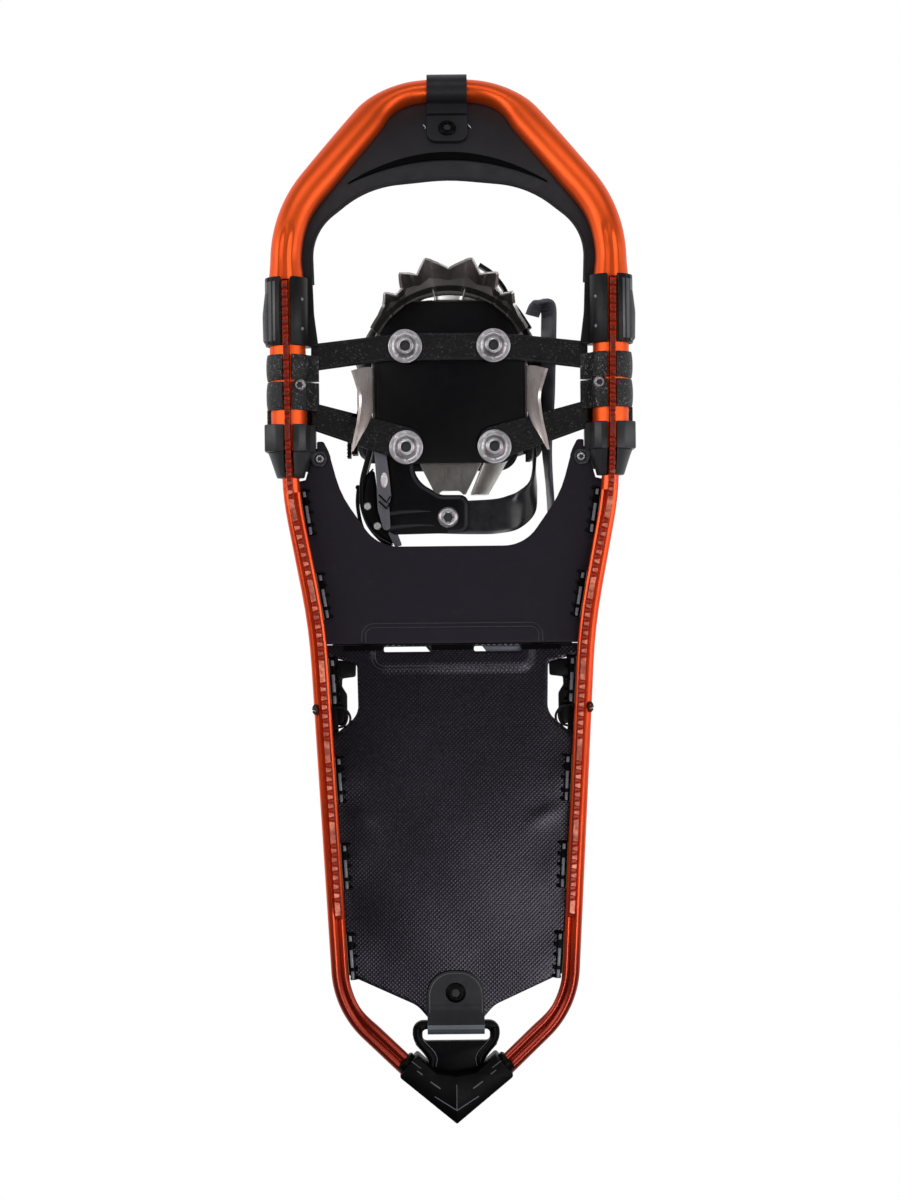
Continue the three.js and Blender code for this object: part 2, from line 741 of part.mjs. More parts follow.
/** A clip that holds the deck's edge beside the rail: a base with a notched ridge. */
function deckClip() {
  const base = box([-7.6, -CLIP_LENGTH / 2, 1.6], [0, CLIP_LENGTH / 2, 3.2]);
  const ridge = box([-5.6, -CLIP_LENGTH / 2 + 1, 0], [-2, CLIP_LENGTH / 2 - 1, 2]);
  const notch = (y) => box([-9, y - 1, -1], [1, y + 1, 1.2]);
  return cut(join(base, ridge), notch(7), notch(-7));
}

const TAIL_TAB_HALF = 17;
const ANCHOR_Y = -260.4;
const ANCHOR_HALF = 2.5;

/** The tail tab: a strap folded round the cap's anchor bar, with a leaf on each face of the deck. */
function tailTab() {
  const middle = DECK_Z + DECK_T / 2;
  const outer = 5.6;
  const inner = 3.9;
  const fold = (radius) =>
    [90, 60, 30, 0, -30, -60, -90].map((angle) =>
      V2(ANCHOR_Y - radius * Math.cos(radians(angle)), middle + radius * Math.sin(radians(angle))),
    );
  const section = [
    V2(-228, DECK_TOP + GAP + 1.6),
    V2(-250, DECK_TOP + GAP + 1.6),
    ...fold(outer),
    V2(-250, DECK_Z - GAP - 1.6),
    V2(-228, DECK_Z - GAP - 1.6),
    V2(-228, DECK_Z - GAP),
    V2(-251, DECK_Z - GAP),
    ...fold(inner).reverse(),
    V2(-251, DECK_TOP + GAP),
    V2(-228, DECK_TOP + GAP),
  ];
  const strap = plate(section, -TAIL_TAB_HALF, TAIL_TAB_HALF).applyMatrix4(ALONG_X);
  const tab = mirrored([[TAIL_TAB_HALF, -270, 0], [TAIL_TAB_HALF, -228, 15]]);
  const plan = plate(outline(tab), 0, 40);
  const hole = bore(TAIL_RIVET, TAIL_SHANK_R + GAP, 0, 40);
  return cut(common(strap, plan), hole);
}

/** The tail cap: a V that sockets both rails, with a web and a loop for the tail tab. */
function tailCap() {
  const point = [
    [0, TAIL_Y, 0],
    [34.5, -289, 1.5],
    [23.6, -276.6, 1],
    [12, -287, 0],
    [0, -289, 0],
  ];
  const vee = plate(outline(mirrored(point), 30), 9.5, 28.5);
  const web = [
    [14, -292, 0],
    [13.2, -283, 5],
    [26.2, -268, 8],
    [26.2, ANCHOR_Y + ANCHOR_HALF, 6.5],
  ];
  const slot = [
    [20.4, -271, 2.4],
    [20.4, ANCHOR_Y - ANCHOR_HALF, 2.4],
  ];
  const loop = drilled(outline(mirrored(web), 22), 19.5, 24.5, [outline(mirrored(slot), 22)]);
  const sockets = [railBead(GAP), mirrorImage(railBead(GAP))];
  return cut(join(vee, loop), ...sockets);
}

const LIFT_Y = -26.5; // the heel lift's hinge line
const LIFT_Z = 27.6;
const LIFT_WIRE_R = 1.8;
const LIFT_HALF = 54;
const LUG_X = 46;

/** The crossbar on top of the deck that carries the heel lift, with a hooked arm in each side notch. */
function heelLiftBase() {
  const half = [
    [0, -21, 0],
    [68, -21, 3],
    [72, -29, 3],
    [72, -48, 2],
    [70.4, -56, 3],
    [70.4, -80, 3],
    [65, -81.5, 3],
    [63.4, -76, 4],
    [63.4, -62, 4],
    [66.4, -57, 2],
    [66.2, -52.4, 1],
    [60.5, -51.4, 1],
    [60.5, -41, 3],
    [57, -32.4, 3],
  ];
  const bar = plate(outline(mirrored(half), 30), DECK_TOP + GAP, DECK_TOP + 2.6);
  const lug = (x) => box([x - 3, -31, DECK_TOP + 1], [x + 3, -22, LIFT_Z + 3.4]);
  const holeEnds = [-60, 60].map((x) => V3(x, LIFT_Y, LIFT_Z));
  const wireHole = wire(holeEnds, LIFT_WIRE_R + 0.3, 12);
  return cut(join(bar, lug(LUG_X), lug(-LUG_X)), wireHole);
}

/** The heel lift: a wire bail hinged in the crossbar's lugs, lying back on the deck at rest. */
function heelLiftBail() {
  const half = [
    [LUG_X - 5, 0],
    [LIFT_HALF - 3, 0],
    [LIFT_HALF - 0.8, -0.8],
    [LIFT_HALF, -3],
    [LIFT_HALF, -40],
    [LIFT_HALF - 2, -45],
    [LIFT_HALF - 7, -47],
  ];
  const route = mirrored(half).map(([x, y]) => V3(x, LIFT_Y + y, LIFT_Z));
  return wire(route, LIFT_WIRE_R, 8);
}

const TIE_Y = -72.5;

/** The cord loop that ties the deck's notch to the rail, open where it meets the fin. */
function tieLoop() {
  const ring = new THREE.TorusGeometry(6.8, 1.1, 6, 14).rotateX(Math.PI / 2);
  const x = finX(TIE_Y);
  const finRoom = box([x - 2.2, TIE_Y - 3, 0], [x + 2.2, TIE_Y + 3, AXIS_Z]);
  return cut(ring.translate(railX(TIE_Y), TIE_Y, AXIS_Z), finRoom);
}

const bolts = [
  ["front_right", BOLT_X, FRONT_BOLT_Y],
  ["front_left", -BOLT_X, FRONT_BOLT_Y],
  ["rear_right", BOLT_X, REAR_BOLT_Y],
  ["rear_left", -BOLT_X, REAR_BOLT_Y],
];
const boltHoles = (chosen = bolts, radius = SHANK_R) =>
  chosen.map(([, x, y]) => circle(x, y, radius + GAP, 12));

/** The front suspension strap, from one tube sleeve to the other under the binding. */
function frontStrap() {
  const half = [
    [0, 154.6, 0],
    [30, 154.4, 12],
    [STRAP_END_X, 148.8, 0],
    [STRAP_END_X, 132.8, 0],
    [38, 138, 12],
    [0, 138, 0],
  ];
  const holes = boltHoles(bolts.slice(0, 2));
  return drilled(outline(mirrored(half), 15), STRAP_Z, STRAP_Z + STRAP_T, holes);
}

/** A rear suspension strap, from the sleeve to its bolt. */
function rearStrap() {
  const corners = [
    [STRAP_END_X, 111, 0],
    [STRAP_END_X, 94.6, 0],
    [46, 84, 0],
    [17, 74, 9],
    [17, 96, 9],
  ];
  const holes = boltHoles([bolts[2]]);
  return drilled(outline(corners, 20), STRAP_Z, STRAP_Z + STRAP_T, holes);
}

/** The black plate under the binding, which the straps are bolted to. */
function bindingPlate() {
  const half = [
    [24, 173.8, 4],
    [38.4, 161, 10],
    [45.3, 140, 30],
    [45.3, 100, 4],
    [41, 92, 6],
    [38, 76, 11],
    [17.5, 76.5, 6],
  ];
  return drilled(outline(mirrored(half), 20), PLATE_Z, PLATE_Z + PLATE_T, boltHoles());
}

// The crampon's toe skirt: corners [angle from straight ahead, tip radius, tip height] about its centre.
const CROWN_CENTRE_Y = 130;
const CROWN = [
  [0, 63.4, 6.5],
  [12, 67.9, 1.2],
  [19, 62.4, 6.5],
  [26.5, 64.8, 1.5],
  [33, 59.6, 7],
  [39.5, 60.2, 2],
  [47, 56.5, 8.5],
  [54, 56.5, 11],
  [60, 56.5, 15],
];

/** One stamped steel piece: the plate under the foot, the toothed skirt, a blade down each side, a tongue. */
function toeCrampon() {
  const otherSide = CROWN.slice(1).map(([angle, ...rest]) => [-angle, ...rest]);
  const fan = [...otherSide.reverse(), ...CROWN];
  const ray = (angle, radius, z) => {
    const turn = radians(angle);
    return V3(radius * Math.sin(turn), CROWN_CENTRE_Y + radius * Math.cos(turn), z);
  };
  const middle = STEEL_Z + STEEL_T / 2;
  const skirt = sheet(
    fan.map(([angle, radius, z]) => [
      ray(angle, 42, middle),
      ray(angle, 50.4, middle - 0.1),
      ray(angle, mix(50.4, radius, 0.5), mix(middle, z, 0.64)),
      ray(angle, radius, z),
    ]),
    1.8,
  );
  const half = [
    [20, 175, 8],
    [45, 156, 16],
    [47, 138, 6],
    [47, 96, 4],
    [20.5, 96, 4],
    [18.5, 76, 1],
    [9, 59, 1],
  ];
  const holes = boltHoles(bolts.slice(0, 2));
  const flat = drilled(outline(mirrored(half), 20), STEEL_Z, STEEL_Z + STEEL_T, holes);
  const blade = sheet(
    [
      [V3(46.6, 134.6, middle), V3(50.4, 134, 18), V3(57.5, 130.5, 3)],
      [V3(46.6, 127, middle), V3(49.8, 126, 19), V3(55.2, 123, 7.5)],
      [V3(46.6, 119, middle), V3(49.2, 117.5, 20), V3(53.2, 114.5, 9)],
      [V3(46.6, 114, middle), V3(48.9, 109.5, 18), V3(54.4, 101.5, 7)],
      [V3(46.6, 111, middle), V3(49.2, 102.5, 15.5), V3(56.4, 91.5, 4)],
      [V3(46.6, 110, middle - 0.4), V3(50.8, 97, 12), V3(58, 82.5, 1.6)],
    ],
    1.8,
  );
  return join(flat, skirt, blade, mirrorImage(blade));
}

/** The footbed that the boot's sole stands on. */
function footbed() {
  const half = [
    [27, 177, 12],
    [46.2, 136, 30],
    [46.2, 100, 12],
    [38, 72, 12],
  ];
  return drilled(outline(mirrored(half), 15), BED_Z, BED_Z + BED_T, boltHoles(bolts, NUT_R));
}

/** A binding bolt with its pressed washer below the strap and its dome nut sunk in the footbed. */
function bindingBolt() {
  const profile = [
    [0, STRAP_Z - 4.6],
    [4.2, STRAP_Z - 4.6],
    [5.6, STRAP_Z - 2.8],
    [10.2, STRAP_Z - 1.4],
    [10.2, STRAP_Z - GAP],
    [SHANK_R, STRAP_Z - GAP],
    [SHANK_R, BED_Z + 0.1],
    [NUT_R, BED_Z + 0.1],
    [NUT_R - 1, BED_Z + 2.2],
    [0, BED_Z + 3],
  ];
  return pin(profile, [0, 0, 0], 12);
}

const BAND_RIVET = [1.7, 44];
const BAND_SHANK_R = 2.4;

/** The L-shaped arm that carries the heel band, bolted at the rear right corner. */
function heelArm() {
  const corners = [
    [BOLT_X - 5, 96, 5],
    [38.5, 96, 5],
    [38.5, 74, 20],
    [43, 52, 14],
    [37, 33.8, 6],
    [-10.6, 34.6, 5],
    [-10.6, 55.4, 5],
    [6, 56, 8],
    [22, 66, 16],
    [22, 90, 3],
  ];
  const holes = [...boltHoles([bolts[2]]), circle(...BAND_RIVET, BAND_SHANK_R + GAP, 12)];
  return drilled(outline(corners, 18), STEEL_Z, STEEL_Z + STEEL_T, holes);
}

/** The steel brace that slants from the rear left bolt to the heel band. */
function heelBrace() {
  const corners = [
    [-BOLT_X + 5, 94, 5],
    [-21.6, 80, 3],
    [-11.8, 57.2, 0.5],
    [-22.6, 57.2, 0.5],
    [-36, 80, 8],
    [-36, 96, 5],
    [-BOLT_X, 96, 5],
  ];
  return drilled(outline(corners, 20), STEEL_Z, STEEL_Z + STEEL_T, boltHoles([bolts[3]]));
}

/** The moulded band that runs behind the arch and turns up along the left side of the boot. */
function heelBand() {
  const z = STEEL_Z + STEEL_T + GAP + 1;
  const stations = [
    { at: [13, 44, z], across: [0, 19, 0] },
    { at: [-14, 44, z], across: [0, 20.5, 0] },
    { at: [-28, 44.6, z], across: [1, 21, 0] },
    { at: [-38, 47, z + 0.8], across: [6, 20, -2] },
    { at: [-46, 53, z + 4.5], across: [9.5, 13, -11] },
    { at: [-50.4, 63, z + 11], across: [4, 6, -18] },
    { at: [-51.4, 78, z + 18], across: [0, 5, -19] },
    { at: [-51.4, 92, z + 22], across: [0, 3, -19] },
  ];
  const hole = bore(BAND_RIVET, BAND_SHANK_R + GAP, 20, 40);
  return cut(band(stations, 2), hole);
}

/** The rivet that holds the heel band to the arm. */
function bandRivet() {
  return rivet([...BAND_RIVET, STEEL_Z - GAP - 2], 6.3, 2, BAND_SHANK_R, 8);
}

/** One side of the toe harness: a shell that stands beside the footbed and leans over the boot. */
function harnessWing() {
  const rows = [
    [168, 160, 152, 146, 142],
    [150, 146, 142, 138, 134],
    [132, 130, 126, 120, 114],
    [114, 112, 106, 98, 92],
    [98, 98, 92, 84, 80],
  ];
  const profile = [[47.6, 31], [52.2, 36], [55.2, 48], [54.4, 62], [48.5, 76]];
  const grid = rows.map((ys) => ys.map((y, i) => V3(profile[i][0], y, profile[i][1])));
  const toeIn = (point) => V3(point.x - Math.max(0, point.y - 140) * 0.34, point.y, point.z);
  return sheet(grid.map((row) => row.map(toeIn)), 2.6);
}

/** A strap that arches over the boot from wing to wing. */
function overStrap({ y, lean, foot, crest, width }) {
  const half = 46.5;
  const shares = [-1, -0.85, -0.6, -0.3, 0, 0.3, 0.6, 0.85, 1];
  const stations = shares.map((share) => {
    const height = foot + (crest - foot) * (1 - share ** 2) ** 0.62;
    return { at: [share * half, y + lean * (1 - Math.abs(share)), height], across: [0, width, 0] };
  });
  return band(stations, 2.2);
}

const TOE_STRAP = { y: 141, lean: 4, foot: 77.8, crest: 99, width: 17 };
const INSTEP_STRAP = { y: 96, lean: -6, foot: 77.8, crest: 118, width: 22 };

/** The rubber heel strap: looped through the left wing, round behind the heel, to the buckle. */
function heelStrap() {
  const route = [
    [-50.6, 166.5, 40],
    [-53, 172, 40],
    [-56.8, 175.1, 40],
    [-60.4, 171.5, 40],
    [-60.6, 158, 40.5],
    [-59.6, 125, 42],
    [-58.8, 90, 44],
    [-61, 55, 47],
    [-62, 22, 50],
    [-55, -4, 52],
    [-44, -28, 54],
    [-26, -43, 55],
    [-4, -46, 56],
    [14, -34, 55],
    [28, -8, 52],
    [35.5, 22, 49],
  ];
  return band(route.map((at) => ({ at, across: [0, 0, 15] })), 2.4);
}

/** The heel buckle: a curved channel on the right side that the heel strap feeds into. */
function heelBuckle() {
  const route = [
    [36.6, 27.5, 48],
    [43, 32, 47],
    [50, 41, 45.5],
    [53.6, 53, 43.5],
    [53.4, 66, 41.5],
    [50.4, 78, 40],
    [47.6, 88, 39],
  ];
  return band(route.map((at) => ({ at, across: [0, 0, 19] })), 2.6);
}

/** The heel buckle's lever, hinged at its front end beside the channel. */
function heelLever() {
  const route = [
    [56.2, 63, 42.3],
    [56.8, 52, 43.5],
    [54.2, 39, 45.5],
    [48, 29.5, 47],
  ];
  return band(route.map((at) => ({ at, across: [0, 0, 13] })), 2);
}

/** The instep buckle on the right wing. */
function instepBuckle() {
  return box([56.9, 84, 50], [60.4, 108, 66]);
}

/** The instep buckle's lever, hinged at its front end. */
function instepLever() {
  return box([61, 80, 52], [63.6, 107, 64]);
}

// ---------------------------------------------------------------- assembly

const frame = new THREE.Group();
frame.add(
  part("front_tube", frontTube(), orangeTube),
  ...pair("rail", rail(), orangeRail),
  part("tail_cap", tailCap(), blackPlastic),
  ...pair("front_collar", frontCollar(), blackPlastic),
  ...pair("rear_collar", rearCollar(), blackPlastic),
  part("nose_deck", cut(noseDeck(), noseHole()), blackPlastic),
  part("nose_strap", noseStrap(), blackPlastic),
  part("nose_rivet", noseRivet(), blackPlastic),
  part("front_deck", frontDeck(), blackSheet),
  part("rear_deck", rearDeck(), blackSheet),
  part("tail_tab", tailTab(), blackPlastic),
  part("tail_rivet", tailRivet(), blackPlastic),
  ...pair("corner_rivet", cornerRivet(), zincSteel),
  ...pair("strap_sleeve", sleeve(), webbing),
  ...pair("sleeve_rivet", sleeveRivet(), zincSteel),
  part("front_strap", frontStrap(), webbing),
  ...pair("rear_strap", rearStrap(), webbing),
  part("heel_lift_base", heelLiftBase(), blackPlastic),
  ...pair("tie_loop", tieLoop(), webbing),
);

CLIPS.forEach((y, i) => {
  const slope = Math.atan2(railX(y + 12) - railX(y - 12), 24);
  for (const [side, sign] of [["right", 1], ["left", -1]]) {
    const clip = part(`deck_clip_${side}_${i + 1}`, deckClip(), blackPlastic);
    clip.position.set(sign * (railX(y) - DECK_EDGE), y, CLIP_Z);
    clip.rotation.z = -sign * slope;
    clip.scale.x = sign;
    frame.add(clip);
  }
});

const heelLift = new THREE.Group();
heelLift.add(part("heel_lift_bail", heelLiftBail(), zincSteel));

const binding = new THREE.Group();
binding.add(
  part("binding_plate", bindingPlate(), blackPlastic),
  part("toe_crampon", toeCrampon(), darkSteel),
  part("footbed", footbed(), blackPlastic),
  part("heel_arm", heelArm(), blackPlastic),
  part("heel_brace", heelBrace(), darkSteel),
  part("heel_band", heelBand(), blackPlastic),
  part("heel_band_rivet", bandRivet(), zincSteel),
  ...pair("harness_wing", harnessWing(), blackPlastic),
  part("toe_strap", overStrap(TOE_STRAP), greyStrap),
  part("instep_strap", overStrap(INSTEP_STRAP), greyStrap),
  part("heel_strap", heelStrap(), greyStrap),
  part("heel_buckle", heelBuckle(), blackPlastic),
  part("instep_buckle", instepBuckle(), blackPlastic),
);
for (const [place, x, y] of bolts) {
  const bolt = part(`binding_bolt_${place}`, bindingBolt(), zincSteel);
  bolt.position.set(x, y, 0);
  binding.add(bolt);
}

const heelLeverGroup = new THREE.Group();
heelLeverGroup.add(part("heel_buckle_lever", heelLever(), blackPlastic));

const instepLeverGroup = new THREE.Group();
instepLeverGroup.add(part("instep_lever", instepLever(), blackPlastic));

const snowshoe = new THREE.Group();
binding.add(heelLeverGroup, instepLeverGroup);
snowshoe.add(frame, heelLift, binding);

export default snowshoe;
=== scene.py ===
"""A mountain snowshoe seen from below: smooth tube and rails, moulded clamps, coated decks, webbing and
a steel toe crampon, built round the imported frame. Lengths are millimetres, and Blender's are metres.
+X is the wearer's right, +Y is forward, +Z is up; the rail teeth stand on z = 0."""

import json
import math

import bmesh
import bpy
import numpy as np
from mathutils import Matrix, Vector
from mathutils.geometry import delaunay_2d_cdt


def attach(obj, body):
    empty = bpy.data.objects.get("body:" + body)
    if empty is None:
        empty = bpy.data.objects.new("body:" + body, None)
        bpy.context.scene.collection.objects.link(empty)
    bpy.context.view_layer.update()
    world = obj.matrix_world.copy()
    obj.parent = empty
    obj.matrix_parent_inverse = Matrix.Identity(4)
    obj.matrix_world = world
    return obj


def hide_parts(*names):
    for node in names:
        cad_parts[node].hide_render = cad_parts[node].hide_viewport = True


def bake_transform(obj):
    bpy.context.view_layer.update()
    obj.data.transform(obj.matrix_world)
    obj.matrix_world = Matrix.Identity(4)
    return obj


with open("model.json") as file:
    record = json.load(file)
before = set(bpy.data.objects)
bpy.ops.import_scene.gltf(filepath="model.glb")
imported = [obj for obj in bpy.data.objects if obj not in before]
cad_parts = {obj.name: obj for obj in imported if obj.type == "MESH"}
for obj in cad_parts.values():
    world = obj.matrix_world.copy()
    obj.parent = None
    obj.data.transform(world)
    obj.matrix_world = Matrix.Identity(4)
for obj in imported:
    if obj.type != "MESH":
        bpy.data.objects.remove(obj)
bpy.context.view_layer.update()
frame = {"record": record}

MM = 0.001

# ------------------------------------------------------------ driving dimensions, as in the frame
NOSE_Y = 317.5
TAIL_Y = -317.5
GAP = 0.35
AXIS_Z = 19.0
TUBE_R = 9.3
TUBE_NOSE_HALF = 7.2
TUBE_FORK_R = 10.8
SHOULDER = (97.6, 223.5)
FORK_END = (96.0, 84.0)
FORK_FRONT_Y = 186.0
NOSE_CENTRE_Y = 308.5
BEND_Y = 205.0
NOSE_RISE = 38.0
BEAD_R = 5.2
FIN_T = 3.0
TOOTH_PITCH = 5.3
TOOTH_DEPTH = 3.6
TEETH_IN_GROUP = 9
PLAIN_TEETH = 2
FIN_REAR_Y = -198.0
DECK_Z = 21.4
DECK_TOP = 22.6
DECK_MIDDLE_Z = (DECK_Z + DECK_TOP) / 2
SEAM_Y = -32.0
DECK_EDGE = 5.7
DECK_REACH = 3.6  # the sheet runs on over the rail's web
BOLT_X = 26.5
FRONT_BOLT_Y = 146.6
REAR_BOLT_Y = 86.0
STRAP_Z = 21.5
STRAP_T = 2.2
PLATE_Z = 24.0
PLATE_T = 2.5
STEEL_Z = 26.8
STEEL_T = 2.0
STEEL_MIDDLE_Z = STEEL_Z + STEEL_T / 2
BED_Z = 29.1
BED_T = 4.0
BED_TOP = BED_Z + BED_T
TUBE_LINE = [
    (*FORK_END, 0),
    (*SHOULDER, 80),
    (36, 304.5, 45),
    (0, NOSE_CENTRE_Y, 130),
    (-36, 304.5, 45),
    (-SHOULDER[0], SHOULDER[1], 80),
    (-FORK_END[0], FORK_END[1], 0),
]

SIDES = (("right", 1), ("left", -1))


# ------------------------------------------------------------ plane geometry
MERGE = 0.02  # points of a line that are closer than this are one
STRAIGHT = 1e-6


def smoothstep(value, low, high):
    share = min(max((value - low) / (high - low), 0.0), 1.0)
    return share * share * (3 - 2 * share)


def mix(a, b, share):
    return a + (b - a) * share


def outline(corners, step=6, closed=True):
    """The points of a line through corners (x, y, radius), each corner's arc in steps of degrees."""
    points = []
    count = len(corners)
    for i, corner in enumerate(corners):
        here = Vector(corner[:2])
        radius = corner[2] if len(corner) > 2 else 0
        if radius == 0 or (not closed and i in (0, count - 1)):
            points.append(here)
            continue
        before = (Vector(corners[i - 1][:2]) - here).normalized()
        after = (Vector(corners[(i + 1) % count][:2]) - here).normalized()
        half = math.acos(max(-1, min(1, before.dot(after)))) / 2
        middle = (before + after).normalized()
        centre = here + middle * radius / math.sin(half)
        start = here + before * radius / math.tan(half) - centre
        sweep = math.copysign(math.pi - 2 * half, -(before.x * after.y - before.y * after.x))
        steps = max(1, round(abs(sweep) / math.radians(step)))
        for k in range(steps + 1):
            turn = Matrix.Rotation(sweep * k / steps, 2)
            points.append(centre + turn @ start)
    kept = []
    for point in points:
        if not kept or (point - kept[-1]).length > MERGE:
            kept.append(point)
    if closed and (kept[0] - kept[-1]).length <= MERGE:
        kept.pop()
    return kept


def mirrored(corners):
    """Half an outline and its mirror image in X, as one closed run of corners."""
    other = [(-c[0], c[1], *c[2:]) for c in reversed(corners)]
    run = list(corners) + other
    return [c for i, c in enumerate(run) if c[:2] != run[i - 1][:2]]


def circle(x, y, radius, sides):
    turns = (2 * math.pi * i / sides for i in range(sides))
    return [Vector((x + radius * math.cos(t), y + radius * math.sin(t))) for t in turns]


def arc(x, z, radius, start, end, steps=24):
    turns = (math.radians(mix(start, end, k / steps)) for k in range(steps + 1))
    return [(x + radius * math.cos(t), z + radius * math.sin(t)) for t in turns]


def resample(points, longest, closed=False):
    """The same line with points added so that no step is longer than the longest."""
    run = list(points) + ([points[0]] if closed else [])
    out = [run[0]]
    for a, b in zip(run, run[1:]):
        steps = max(1, math.ceil((b - a).length / longest))
        out += [a.lerp(b, (k + 1) / steps) for k in range(steps)]
    return out[:-1] if closed else out


def smooth_line(points, per_span):
    """A Catmull-Rom line through points of any dimension."""
    run = [np.array(p, float) for p in points]
    run = [2 * run[0] - run[1], *run, 2 * run[-1] - run[-2]]
    out = []
    for i in range(1, len(run) - 2):
        a, b, c, d = run[i - 1 : i + 3]
        for k in range(per_span):
            t = k / per_span
            bent = (2 * a - 5 * b + 4 * c - d) * t**2 + (3 * b - a - 3 * c + d) * t**3
            out.append(0.5 * (2 * b + (c - a) * t + bent))
    out.append(run[-2])
    return out


def shifted(line, x, y, z):
    """The points of a smooth line, all moved alike."""
    return [p + np.array((x, y, z)) for p in line]


def area(loop):
    return sum(a.x * b.y - a.y * b.x for a, b in zip(loop, loop[1:] + loop[:1])) / 2


def inset(loop, amount):
    """The loop moved inwards, or outwards for a negative amount."""
    sign = 1 if area(loop) > 0 else -1
    out = []
    for i, here in enumerate(loop):
        a = (here - loop[i - 1]).normalized()
        b = (loop[(i + 1) % len(loop)] - here).normalized()
        normal = Vector((-(a.y + b.y), a.x + b.x))
        if normal.length < STRAIGHT:
            normal = Vector((-a.y, a.x))
        normal.normalize()
        stretch = 1 / max(0.5, normal.dot(Vector((-a.y, a.x))))
        out.append(here + normal * sign * amount * stretch)
    return out


def inside(point, loop):
    hit = False
    for a, b in zip(loop, loop[-1:] + loop[:-1]):
        if (a.y > point.y) != (b.y > point.y):
            if point.x < (b.x - a.x) * (point.y - a.y) / (b.y - a.y) + a.x:
                hit = not hit
    return hit


# ------------------------------------------------------------ solids as (points, faces)
def loft(rings):
    """A skin through rings of points, with its ends capped."""
    size = len(rings[0])
    last = (len(rings) - 1) * size
    faces = []
    for a in range(0, last, size):
        for i in range(size):
            j = (i + 1) % size
            faces.append((a + i, a + j, a + size + j, a + size + i))
    faces.append(tuple(reversed(range(size))))
    faces.append(tuple(range(last, last + size)))
    return [tuple(p) for ring in rings for p in ring], faces


def shell(grid, thickness):
    """A bent sheet of even thickness about a grid of points."""
    g = np.array([[tuple(p) for p in row] for row in grid], float)
    along = np.gradient(g, axis=0)
    across = np.gradient(g, axis=1)
    normal = np.cross(along, across)
    normal /= np.linalg.norm(normal, axis=2, keepdims=True)
    half = np.asarray(thickness, float) / 2
    half = half[..., None] if half.ndim else half
    rows, columns = g.shape[:2]
    points = np.concatenate([(g + normal * half).reshape(-1, 3), (g - normal * half).reshape(-1, 3)])
    other = rows * columns
    at = lambda r, c: r * columns + c
    faces = []
    for r in range(rows - 1):
        for c in range(columns - 1):
            q = (at(r, c), at(r, c + 1), at(r + 1, c + 1), at(r + 1, c))
            faces += [q, tuple(other + i for i in reversed(q))]
    rim = [at(0, c) for c in range(columns)] + [at(r, columns - 1) for r in range(1, rows)]
    rim += [at(rows - 1, c) for c in range(columns - 2, -1, -1)] + [at(r, 0) for r in range(rows - 2, 0, -1)]
    for a, b in zip(rim, rim[1:] + rim[:1]):
        faces.append((b, a, other + a, other + b))
    return [tuple(p) for p in points], faces


ROUND = 0.29  # 1 - cos 45 degrees, which puts a point in the middle of a rounded edge
CLOSE = 1e-5


def slab(points, low, high, holes=(), edge=0.35, fill=None, lift=None):
    """A plate with rounded edges between two heights. With fill, its faces carry a grid of that spacing, and
    lift(x, y) then raises each point."""
    loops = [list(points), *[list(h) for h in holes]]
    sizes = [len(loop) for loop in loops]
    starts = np.cumsum([0, *sizes])
    total = int(starts[-1])
    bend = ROUND * edge
    profile = [(edge, low), (bend, low + bend), (0, low + edge)]
    profile += [(0, high - edge), (bend, high - bend), (edge, high)]
    verts = []
    for amount, z in profile:
        for i, loop in enumerate(loops):
            verts += [(p.x, p.y, z) for p in inset(loop, amount if i == 0 else -amount)]
    faces = []
    for k in range(len(profile) - 1):
        for i, size in enumerate(sizes):
            way = (area(loops[i]) > 0) == (i == 0)
            for a in range(size):
                b = (a + 1) % size
                p, q = k * total + starts[i] + a, k * total + starts[i] + b
                quad = (p, q, q + total, p + total)
                faces.append(quad if way else tuple(reversed(quad)))
    rim = [p for loop in loops for p in loop]
    edges = []
    for start, size in zip(starts, sizes):
        edges += [(int(start + a), int(start + (a + 1) % size)) for a in range(size)]
    outer = rim[: sizes[0]]
    gaps = [rim[starts[i] : starts[i + 1]] for i in range(1, len(loops))]
    extra = []
    if fill:
        margin = edge + fill * 0.55
        xs = [p.x for p in outer]
        ys = [p.y for p in outer]
        keep_in = inset(outer, margin)
        keep_out = [inset(g, -margin) for g in gaps]
        for j in range(int((max(ys) - min(ys)) / fill) + 1):
            for i in range(int((max(xs) - min(xs)) / fill) + 1):
                spot = Vector((min(xs) + (i + 0.5 * (j % 2)) * fill, min(ys) + j * fill))
                if inside(spot, keep_in) and not any(inside(spot, g) for g in keep_out):
                    extra.append(spot)
    flat, _, triangles, source, _, _ = delaunay_2d_cdt(rim + extra, edges, [], 0, CLOSE)
    back = [s[0] if s else None for s in source]
    top = (len(profile) - 1) * total
    extra_low = len(verts)
    verts += [(p.x, p.y, low) for p in extra]
    extra_high = len(verts)
    verts += [(p.x, p.y, high) for p in extra]
    for triangle in triangles:
        centre = sum((flat[i] for i in triangle), Vector((0, 0))) / 3
        if not inside(centre, outer) or any(inside(centre, g) for g in gaps):
            continue
        ids = [back[i] for i in triangle]
        if None in ids or len(set(ids)) < 3:
            continue
        lower = [i if i < total else extra_low + i - total for i in ids]
        upper = [top + i if i < total else extra_high + i - total for i in ids]
        faces += [tuple(reversed(lower)), tuple(upper)]
    if lift:
        verts = [(x, y, z + lift(x, y)) for x, y, z in verts]
    return verts, faces


def lathe(profile, sides, place, reach=None):
    """A turned piece along Z from a profile of (radius, height); reach(radius, turn) is for an uneven one."""
    x, y, z = place
    rings = []
    for radius, height in profile:
        ring = []
        for k in range(sides):
            t = 2 * math.pi * k / sides
            r = reach(radius, t) if reach else radius
            ring.append((x + r * math.cos(t), y + r * math.sin(t), z + height))
        rings.append(ring)
    return loft(rings)


